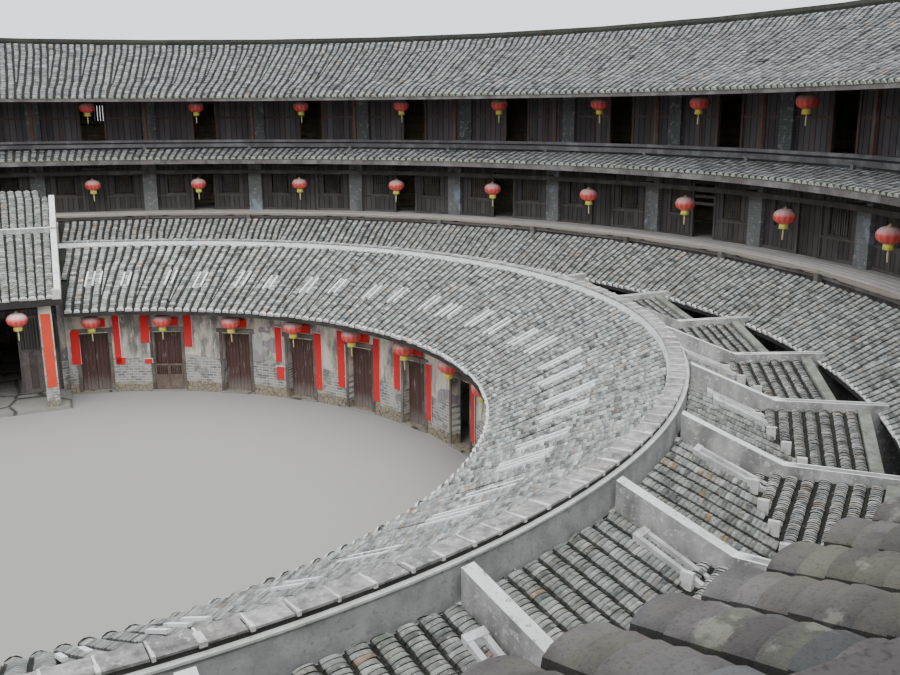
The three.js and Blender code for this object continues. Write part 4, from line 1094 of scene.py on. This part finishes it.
def dress_inner_ridge():
    """A round wall of plaster with slabs laid across it, which stands for the frame's ridge."""
    r0, r1 = RIDGE_INNER_R * COS, RIDGE_FLAT
    low = FRONT.z(r0)
    top = low + 0.086
    rim = top - 0.034
    wall = ring_piece("inner_ridge_wall", [
        (r0 + 0.02, low - 0.02), (r1 - 0.012, BACK_TOP_Z - 0.01), (r1, BACK_TOP_Z - 0.01), (r1, rim - 0.012),
        (r0 + 0.02, rim - 0.012),
    ], RIDGE_WALL, SMOOTH, True)
    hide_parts("inner_ridge")
    ring_piece("inner_ridge_band", [
        (r0 - 0.014, low - 0.01), (r0 + 0.030, low - 0.01), (r0 + 0.030, top - 0.012),
        (r0 + 0.016, top - 0.012),
    ], BAND, SMOOTH, True)
    band("inner_ridge_rim", (r1 - 0.050, r1 + 0.010), (rim - 0.014, rim), RIM, SMOOTH, True)
    # Painted shadow: a near-black core under the overhang of the slabs.
    band("inner_ridge_core", (r0 + 0.028, r1 - 0.030), (rim - 0.014, top - 0.004), SHADOW_TIMBER,
         SMOOTH, True)
    slabs, joints = Boxes(), Boxes()
    half = r0 * math.tan(BAY / SLABS_A_BAY / 2) - 0.003
    for k in range(BAYS * SLABS_A_BAY):
        bay = (k + 0.5 + rng.uniform(-0.05, 0.05)) / SLABS_A_BAY
        if not clear_of_hall(bay, 0.0, r0, 0.06):
            continue
        thick = 0.011 + rng.uniform(-0.003, 0.004)
        slabs.add(bay, (-half, half), (r0 + 0.010, r1 - 0.022), (top - 0.003, top + thick), lean=0.003)
        patch, wide = rng.uniform(0.03, 0.12), rng.uniform(0.008, 0.022)
        joints.add(bay, about(half, wide), (r1 - 0.020 - patch, r1 - 0.019), (top - 0.010, top + 0.017))
        joints.add(bay, about(half, 0.006), (r0 + 0.008, r1 - 0.020), (top - 0.010, top + 0.0145))
    slabs.build("inner_ridge_slabs", RIDGE_TILES, "roof_tile")
    joints.build("inner_ridge_joints", MORTAR, "white_plaster")


# Hall

HALL_COURSE, HALL_TILE_LONG, HALL_PITCH, HALL_VERGE = 0.060, 0.070, 0.142, 0.10


def hall_columns(rolls, start, end, half=None):
    """Rolls up one plane of the hall's roof, from start to end, each given as (y, height)."""
    run, climb = end[0] - start[0], end[1] - start[1]
    length = math.hypot(run, climb)
    count = int(length / HALL_COURSE)
    normal = np.array([0.0, -climb * (1 if run > 0 else -1), abs(run)]) / length
    edge = half or hall_x((start[0] + end[0]) / 2) - HALL_VERGE
    columns = round(2 * edge / HALL_PITCH)
    ends = []
    for k in range(columns):
        u = (2 * k + 1) / columns - 1
        s = np.maximum((np.arange(count) + rng.uniform(-0.07, 0.07, count)) * HALL_COURSE, 0)
        share = np.stack([s, np.minimum(s + HALL_TILE_LONG, length)]) / length
        y = start[0] + run * share
        z = start[1] + climb * share + 0.002
        x = u * (half or hall_x(y) - HALL_VERGE) + rng.uniform(-0.003, 0.003, share.shape)
        low, high = (np.stack([x[i], y[i], z[i]], -1) for i in (0, 1))
        rolls.add(low, high, np.broadcast_to(normal, low.shape), wide=0.059, tall=0.036, lip=0.009)
        ends.append((low[0], high[0], normal))
    return ends


def dress_hall_roof():
    rolls = Rolls(4)
    y, z = HALL_EAVE
    ridge_y, ridge_z = HALL_RIDGE
    ends = hall_columns(rolls, (y + 0.012, z + 0.005), (ridge_y - 0.075, ridge_z - 0.031))
    slope = (HALL_REAR[1] - ridge_z) / (HALL_REAR[0] - ridge_y)
    notch = (HALL_NOTCH_Y, ridge_z + slope * (HALL_NOTCH_Y - ridge_y))
    back = (HALL_BACK_Y, HALL_REAR[1] - HALL_BACK_SLOPE * (HALL_BACK_Y - HALL_REAR[0]))
    hall_columns(rolls, (ridge_y + 0.075, ridge_z + 0.075 * slope), notch)
    hall_columns(rolls, notch, HALL_REAR, HALL_NOTCH_X - 0.02)
    hall_columns(rolls, back, HALL_REAR, HALL_NOTCH_X - 0.02)
    rolls.build("hall_tiles", BACK_TILES)
    plugs("hall_eave_mortar", ends, MORTAR, wide=0.058, tall=0.052, long=0.024)
    trim, blocks = Boxes(), Boxes()
    edge = hall_x(y)
    trim.add(0, (-edge, edge), about(y, 0.012), (z - 0.125, z - 0.012))
    # Painted shadow: a near-black board under the hall's eave.
    trim.build("hall_eave_board", SHADOW_TIMBER, "dark_timber")
    for side in (-1, 1):
        x = sorted((side * (edge - 0.004), side * (edge - 0.135)))
        blocks.add(0, x, (y - 0.02, y + 0.13), (z - 0.02, z + 0.135), taper=0.9)
    blocks.build("hall_verge_blocks", MORTAR, "white_plaster")


SCREEN_FOOT, SCREEN_RAIL, SCREEN_HEAD = 0.06, 0.80, 1.44
SCREEN_BARS, SCREEN_PLANKS, SCREEN_STILE = 13, 5, 0.045


def dress_hall_front():
    """Bars over planks on both sides of the hall's door, and paper on its piers."""
    bars, boards, papers = Boxes(), Boxes(), Boxes()
    face = SCREEN_Y - 0.02
    edge = hall_x(SCREEN_Y) - 0.125
    for side in (-1, 1):
        x0, x1 = sorted((side * SCREEN_DOOR_HALF, side * edge))
        for z in ((SCREEN_FOOT, 0.12), (SCREEN_RAIL, 0.845), (1.395, SCREEN_HEAD)):
            boards.on_face(0, (x0, x1), face, 0.018, z)
        for x in (x0, x1 - SCREEN_STILE):
            boards.on_face(0, (x, x + SCREEN_STILE), face, 0.022, (SCREEN_FOOT, SCREEN_HEAD))
        for k in range(1, SCREEN_BARS):
            x = x0 + 0.03 + (x1 - x0 - 0.06) * k / SCREEN_BARS
            bars.add(0, about(x, 0.007), (face - 0.015, face - 0.002), (0.84, 1.40))
        wide = (x1 - x0 - 2 * SCREEN_STILE) / SCREEN_PLANKS
        for k in range(SCREEN_PLANKS):
            x = x0 + SCREEN_STILE + wide * k
            boards.on_face(0, (x + 0.003, x + wide - 0.003), face, 0.010, (0.12, SCREEN_RAIL))
    bars.build("hall_screen_bars", GREY_WOOD, "dark_timber")
    boards.build("hall_screen_boards", GREY_WOOD, "dark_timber")
    x, y, half = HALL_PIER
    for side in (-1, 1):
        papers.on_face(0, (side * x - 0.076, side * x + 0.078), y - half, 0.004, (0.40, 1.655))
    papers.build("hall_pier_papers", ORANGE_PAPER, "lantern_red")


# Court wall

def dress_doorways():
    """Jambs, heads and sills of the doorways, and the fixed planks of the doors without a joint."""
    frames, sills, leaves = Boxes(), Boxes(), Boxes()
    face, head = COURT_FACE, DOOR_HEAD + 0.02
    left, right = about(DOOR_SHIFT, DOOR_HALF)
    for bay in DOOR_BAYS:
        for x in ((left - 0.055, left - 0.001), (right + 0.001, right + 0.055)):
            frames.add(bay, x, (face - 0.014, face + 0.02), (0.0, head))
        frames.add(bay, (left - 0.10, right + 0.10), (face - 0.018, face + 0.02), (head, DOOR_HEAD + 0.09))
        sills.add(bay, (left - 0.06, right + 0.06), (face - 0.035, face + 0.02), (0.0, SILL - 0.001))
        if bay not in FIXED_LEAF_BAYS:
            continue
        for x in ((left + 0.002, DOOR_SHIFT - 0.003), (DOOR_SHIFT + 0.003, right - 0.002)):
            leaves.add(bay, x, (face + 0.066, face + 0.086), (SILL + 0.002, DOOR_HEAD - 0.002))
    frames.build("court_door_frames", JAMBS, "dark_timber")
    sills.build("court_door_sills", SLATE, "stone")
    leaves.build("fixed_door_leaves", DOOR, "door_wood")


PAPER_STRIPS = (        # bay, from, to across the bay, from, to up the wall
    (1, -0.045, 0.105, 0.545, 1.16), (2, -0.587, -0.477, 0.515, 1.43), (2, -0.577, -0.417, 0.505, 0.63),
    (2, -0.115, 0.040, 0.900, 1.435), (2, -0.080, 0.060, 0.520, 0.60), (3, -0.622, -0.472, 0.820, 1.44),
    (4, -0.150, -0.020, 0.640, 1.26), (4, -0.150, 0.010, 0.330, 0.56), (5, -0.637, -0.487, 0.24, 1.22),
    (5, -0.130, 0.030, 0.36, 1.33), (6, -0.637, -0.487, 0.24, 1.30), (6, -0.120, 0.030, 0.55, 1.33),
    (7, -0.627, -0.487, 0.22, 1.12), (8, -0.637, -0.497, 0.25, 1.20),
)


def dress_papers():
    """Blank strips of red paper beside the doors and across their heads."""
    papers, edges = Boxes(), Boxes()
    face = COURT_FACE
    under = (face - 0.0165, face - 0.0145)
    for bay, x0, x1, z0, z1 in PAPER_STRIPS:
        papers.add(bay, (x0, x1), (face - 0.020, face - 0.0165), (z0, z1), lean=rng.uniform(-0.01, 0.01))
        edges.add(bay, (x0 - 0.006, x1 + 0.006), under, (z1 - 0.04, z1 + 0.012))
        edges.add(bay, (x1 - 0.004, x1 + 0.007), under, (z0, z1))
    for bay in range(1, 8):
        x = DOOR_SHIFT + 0.02
        papers.add(bay, (x - 0.10, x + 0.20), (face - 0.024, face - 0.019), (1.20, 1.345))
    for bay in FIXED_LEAF_BAYS:
        for side in (-1, 1):
            if rng.uniform() < 0.6:
                x = about(DOOR_SHIFT + side * 0.40, 0.07)
                papers.on_face(bay, x, face, 0.004, (rng.uniform(0.3, 0.7), 1.28))
    papers.build("red_papers", PAPER, "lantern_red")
    edges.build("paper_edges", STRIPS, "white_plaster")


# Timber floors of the outer ring

WINDOW_BARS = 7


def dress_third_floor():
    """Window bars, rails and door frames of the third floor."""
    bars, frames = Boxes(), Boxes()
    face = R * COS
    shift, half, z0, z1 = SIDE_WINDOW
    foot = FLOOR_3 + 0.002
    for bay in ALL_BAYS:
        for side in (-1, 1):
            middle = side * shift
            for k in range(WINDOW_BARS):
                x = middle + ((k + 1) / (WINDOW_BARS + 1) - 0.5) * 2 * half
                bars.add(bay, about(x, 0.0065), (face + 0.004, face + 0.018), (z0, z1))
            window = about(middle, half + 0.03)
            panel = sorted((side * 0.235, side * (face * TAN - 0.15)))
            frames.on_face(bay, window, face, 0.012, (z0 - 0.035, z0))
            frames.on_face(bay, window, face, 0.010, (z1, z1 + 0.03))
            frames.on_face(bay, panel, face, 0.014, (z0 - 0.065, z0 - 0.035))
            frames.on_face(bay, panel, face, 0.014, (foot, FLOOR_3 + 0.05))
            stile = about(side * (shift + 0.02), 0.012)
            frames.on_face(bay, stile, face, 0.010, (FLOOR_3 + 0.05, z0 - 0.065))
            frames.on_face(bay, about(side * 0.250, 0.020), face, 0.020, (foot, FLOOR_3 + 0.97))
        frames.on_face(bay, (-0.27, 0.27), face, 0.020, (FLOOR_3 + 0.92, FLOOR_3 + 0.96))
    for k in range(3):
        z = FLOOR_3 + 0.56 + 0.12 * k
        frames.add(7, (-0.23, 0.23), (face + 0.006, face + 0.024), (z, z + 0.045), 1.0)
    bars.build("third_floor_window_bars", GREY_WOOD, "dark_timber")
    frames.build("third_floor_frames", BEAMS, "dark_timber")


def dress_top_floor():
    """Door frames, rails and stiles of the top floor."""
    frames = Boxes()
    face = TOP_WALL_R * COS
    foot, head = FLOOR_4 + 0.002, FLOOR_4 + 1.02
    for bay in ALL_BAYS:
        for side in (-1, 1):
            panel = sorted((side * 0.295, side * (face * TAN - 0.145)))
            frames.on_face(bay, about(side * 0.272, 0.022), face, 0.022, (foot, head))
            frames.on_face(bay, panel, face, 0.014, (FLOOR_4 + 0.50, FLOOR_4 + 0.54))
            frames.on_face(bay, panel, face, 0.014, (FLOOR_4 + 1.00, FLOOR_4 + 1.04))
            frames.on_face(bay, about(side * 0.64, 0.014), face, 0.012, (foot, FLOOR_4 + 1.00))
        frames.on_face(bay, (-0.294, 0.294), face, 0.022, (FLOOR_4 + 0.972, head))
    frames.build("top_floor_frames", LOGS, "dark_timber")


def dress_gallery_edge():
    """Two rails with a slot between them, closed by a near-black board of painted shadow, on short stubs that
    stand on the waist roof.
    """
    r1 = GALLERY_EDGE_R
    r0 = r1 - 0.05
    foot = FLOOR_4 - 0.100
    slot, rail, top = foot + 0.075, foot + 0.105, foot + 0.155
    body = band("gallery_lower_rail", (r0, r1), (foot, slot), RAILS)
    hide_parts("gallery_edge")
    # Painted shadow: a near-black board in the slot between the rails.
    band("gallery_slot_board", (r0 + 0.022, r1 - 0.004), (slot, rail), SHADOW_TIMBER)
    band("gallery_top_rail", (r0 - 0.006, r1), (rail, top), RAILS)
    stubs, boards = Boxes(), Boxes()
    for k in ALL_BAYS:
        stubs.add(k + 0.5, (-0.032, 0.032), (r0 - 0.016, r0 + 0.03), (WAIST.z(r0 + 0.02), foot + 0.02))
    half = (r0 - 0.006) * math.tan(HALF)
    for bay in range(12, 18):
        for x in ((-half, -0.25), (-0.24, half)):
            z = (foot + 0.150, top + rng.uniform(0, 0.006))
            boards.add(bay, x, ((r0 - 0.012) * COS, r1 * COS), z)
    stubs.build("gallery_stubs", FASCIA, "weathered_boards")
    boards.build("gallery_boards", BLEACHED, "weathered_boards")


def dress_deck_edge():
    """The edge board of the third floor deck, its joist ends and the row of boards below it."""
    r = DECK_EDGE_R
    band("deck_edge_board", (r - 0.028, r - 0.002), (FLOOR_3 - 0.040, FLOOR_3 + 0.004), EDGE_BOARDS)
    band("deck_under_board", (r + 0.012, r + 0.035), (FLOOR_3 - 0.110, FLOOR_3 - 0.062), GREY_WOOD)
    ends = Boxes()
    seat = LOWER.z(r - 0.05) - 0.01
    for bay in ALL_BAYS:
        pier = bay + 0.5
        if clear_of_hall(pier, 0.0, r, 0.05):
            ends.add(pier, (-0.045, 0.045), (r - 0.062, r + 0.02), (FLOOR_3 - 0.150, FLOOR_3 - 0.042))
            ends.add(pier, (-0.036, 0.036), (r - 0.050, r + 0.02), (seat, FLOOR_3 - 0.148))
    ends.build("deck_joist_ends", JAMBS, "dark_timber")


OUTER_BARS, OUTER_WINDOW_WIDE, OUTER_WINDOW_HIGH = 4, 0.25, 0.36


def dress_outer_windows():
    """Upright bars in the windows of the rammed earth wall."""
    bars = Boxes()
    for bay in ALL_BAYS:
        sills = [FLOOR_4 + 0.45] + ([FLOOR_3 + 0.50] if bay % 2 == 0 else [])
        for sill in sills:
            head = sill + OUTER_WINDOW_HIGH
            for k in range(OUTER_BARS):
                x = ((k + 0.5) / OUTER_BARS - 0.5) * OUTER_WINDOW_WIDE
                bars.add(bay, about(x, 0.026), (OUTER_R - 0.20, OUTER_R - 0.165), (sill, head))
            bars.add(bay, (-0.17, 0.17), (OUTER_R * COS - 0.01, OUTER_R * COS + 0.012), (head, sill + 0.42))
    bars.build("outer_window_bars", GREY_WOOD, "dark_timber")


# Lanterns

def lathe(outline, around):
    """Points and quads of a turned outline of (radius, height)."""
    turns = np.linspace(0, TURN, around, endpoint=False)
    points = np.array([[r * math.cos(t), r * math.sin(t), z] for r, z in outline for t in turns])
    quads = []
    for i in range(0, (len(outline) - 1) * around, around):
        for k in range(around):
            after = (k + 1) % around
            quads.append([i + k, i + after, i + around + after, i + around + k])
    return points, quads


LANTERN_PARTS = [RED, BEAMS, GOLD, BRASS, TASSEL]
GLOBE, CORD, COLLAR, KNOB, FRINGE = range(5)
KNOB_OUTLINE = ((0.0, 0.108), (0.036, 0.108), (0.034, 0.120), (0.014, 0.128), (0.012, 0.142), (0, 0.142))
COLLAR_OUTLINE = ((0.0, -0.186), (0.056, -0.186), (0.070, -0.180), (0.066, -0.112), (0.0, -0.100))
FRINGE_OUTLINE = ((0.0, -0.350), (0.010, -0.345), (0.012, -0.240), (0.006, -0.186), (0.0, -0.180))


def lantern_mesh(top):
    """A ribbed red globe with a brass knob, yellow collar and tassel, on a cord that ends at a height."""
    globe = [(0.030 + 0.135 * math.sin(t), 0.110 * math.cos(t)) for t in np.linspace(math.pi, 0, 11)]
    cord = ((0.0, 0.140), (0.004, 0.140), (0.004, top), (0.0, top))
    points, quads, kinds, start = [], [], [], 0
    for outline, around, kind in ((globe, 24, GLOBE), (KNOB_OUTLINE, 10, KNOB), (COLLAR_OUTLINE, 12, COLLAR),
                                  (FRINGE_OUTLINE, 6, FRINGE), (cord, 4, CORD)):
        part_points, part_quads = lathe(outline, around)
        points.append(part_points)
        quads += [[i + start for i in quad] for quad in part_quads]
        kinds += [kind] * len(part_quads)
        start += len(part_points)
    return np.concatenate(points), np.array(quads), kinds, [k % 2 for k in range(len(quads))]


def dress_lanterns(name, node, bays, distance, height, top, shift=0.0):
    points, quads, kinds, ribs = lantern_mesh(top - height)
    all_points, all_quads = [], []
    for bay in bays:
        lean = rng.uniform(-0.05, 0.05, 2)
        x = points[:, 0] + lean[0] * (points[:, 2] - (top - height))
        y = points[:, 1] + lean[1] * (points[:, 2] - (top - height))
        all_quads.append(quads + len(points) * len(all_points))
        all_points.append(to_world(bay, x + shift, y + distance, points[:, 2] + height))
    count = len(all_points)
    marks = {"material": np.tile(kinds, count), "tone": np.tile(ribs, count)}
    piece = make_piece(name, np.concatenate(all_points), np.concatenate(all_quads), LANTERN_PARTS,
                       smooth=np.ones(len(quads) * count), marks=marks)
    if node:
        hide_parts(node)


def dress_all_lanterns():
    top, court = 0.9759 * R, 0.5217 * R
    dress_lanterns("lanterns_top", "lanterns_top_floor", ALL_BAYS, top, 4.979, MAIN.slab(top) - 0.06)
    dress_lanterns("lanterns_third", "lanterns_third_floor", ALL_BAYS, 10.736, 3.344, 3.60)
    dress_lanterns("lanterns_doors", "lanterns_court", DOOR_BAYS, court, 1.337, FRONT.slab(court) - 0.07,
                   DOOR_SHIFT)
    slope = (HALL_RIDGE[1] - HALL_EAVE[1]) / (HALL_RIDGE[0] - HALL_EAVE[0])
    y = HALL_EAVE[0] + 0.12
    for name, x in (("hall_lantern_left", -0.40), ("hall_lantern_right", 0.40)):
        dress_lanterns(name, None, [0], y, 1.60, HALL_EAVE[1] - 0.08 + slope * (y - HALL_EAVE[0]), x)


# Finish of the frame's own nodes

def paint_frame():
    """Gives the CAD nodes their materials, by the starts of their names."""
    for material, *starts in (
        (EARTH, "outer_wall"), (STONE, "stone_footing"), (SLATE, "gate_frame", "hall_platform"),
        (DOOR, "gate_leaf", "door_"), (GATE_WOOD, "half_gate"), (DECK_BOARDS, "third_floor_deck"),
        (FLOOR_BOARDS, "second_floor", "gallery_floor"),
        # The lower front wall gets the dark boards as painted shade under the deck.
        (DARK_BOARDS, "lower_front_wall", "third_floor_wall", "hall_screen"),
        (PIERS_3, "third_floor_piers"), (PIERS_4, "top_floor_piers"), (TOP_BOARDS, "top_floor_wall"),
        (BEAMS, "gallery_bearer"), (GREY_WOOD, "gallery_edge"), (LOGS, "gallery_posts"),
        # The frame's roof slabs get the near-black troughs, painted shade between the rolls.
        (TROUGHS_AND_SHADE, "main_roof", "waist_roof", "lower_roof", "inner_front_roof", "hall_roof"),
        (COURT_WALL, "court_wall", "hall_walls", "hall_pier"), (RIDGE_WALL, "inner_ridge"),
        (CAPS, "side_wings", "hall_ridge"), (RED, "lanterns"),
    ):
        for name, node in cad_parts.items():
            if name.startswith(tuple(starts)):
                node.data.materials.clear()
                node.data.materials.append(material)


# Camera, light and floor

CAMERA_AT = (0.2582, -11.4751, 4.8715)
YAW, PITCH, ROLL = math.radians(25.632), math.radians(-13.501), math.radians(-0.315)
LENS, SENSOR = 37.77, 36
FLOOR_HALF, FLOOR_Z, FLOOR_COLOUR = 120, -0.002, (0.37, 0.36, 0.34)
SKY_COLOUR, SKY_STRENGTH = (0.93, 0.96, 1.0, 1), 1.75
SUN_ENERGY, SUN_WIDE, SUN_TURN = 1.7, math.radians(50), (math.radians(32), math.radians(-18), 0)


def make_camera():
    data = bpy.data.cameras.new("camera")
    data.sensor_width = SENSOR
    data.lens = LENS
    data.clip_start, data.clip_end = 0.05, 500
    camera = bpy.data.objects.new("camera", data)
    forward = Vector((math.sin(YAW) * math.cos(PITCH), math.cos(YAW) * math.cos(PITCH), math.sin(PITCH)))
    level = Vector((math.cos(YAW), -math.sin(YAW), 0))
    up = level.cross(forward)
    right = level * math.cos(ROLL) + up * math.sin(ROLL)
    above = up * math.cos(ROLL) - level * math.sin(ROLL)
    turn = Matrix((right, above, -forward)).transposed()
    camera.matrix_world = Matrix.Translation(CAMERA_AT) @ turn.to_4x4()
    bpy.context.scene.collection.objects.link(camera)
    bpy.context.scene.camera = camera


def make_stage():
    mesh = bpy.data.meshes.new("floor")
    corners = [(x * FLOOR_HALF, y * FLOOR_HALF, FLOOR_Z) for x, y in ((-1, -1), (1, -1), (1, 1), (-1, 1))]
    mesh.from_pydata(corners, [], [(0, 1, 2, 3)])
    floor = bpy.data.objects.new("floor", mesh)
    mesh.materials.append(Shader("pale_floor").done(FLOOR_COLOUR))
    bpy.context.scene.collection.objects.link(floor)
    world = bpy.data.worlds.new("studio")
    world.use_nodes = True
    background = world.node_tree.nodes["Background"].inputs
    background["Color"].default_value = SKY_COLOUR
    background["Strength"].default_value = SKY_STRENGTH
    bpy.context.scene.world = world
    sun = bpy.data.lights.new("soft_sun", "SUN")
    sun.energy = SUN_ENERGY
    sun.angle = SUN_WIDE
    lamp = bpy.data.objects.new("soft_sun", sun)
    lamp.rotation_euler = SUN_TURN
    bpy.context.scene.collection.objects.link(lamp)


make_camera()
make_stage()
paint_frame()
for dress in (dress_main_roof, dress_waist, dress_lower, dress_inner_front, dress_skylights, dress_side_beds,
              dress_backs, dress_wings, dress_back_channels, dress_inner_ridge, dress_hall_roof,
              dress_hall_front, dress_doorways, dress_papers, dress_third_floor, dress_top_floor,
              dress_gallery_edge, dress_deck_edge, dress_outer_windows, dress_all_lanterns):
    dress()
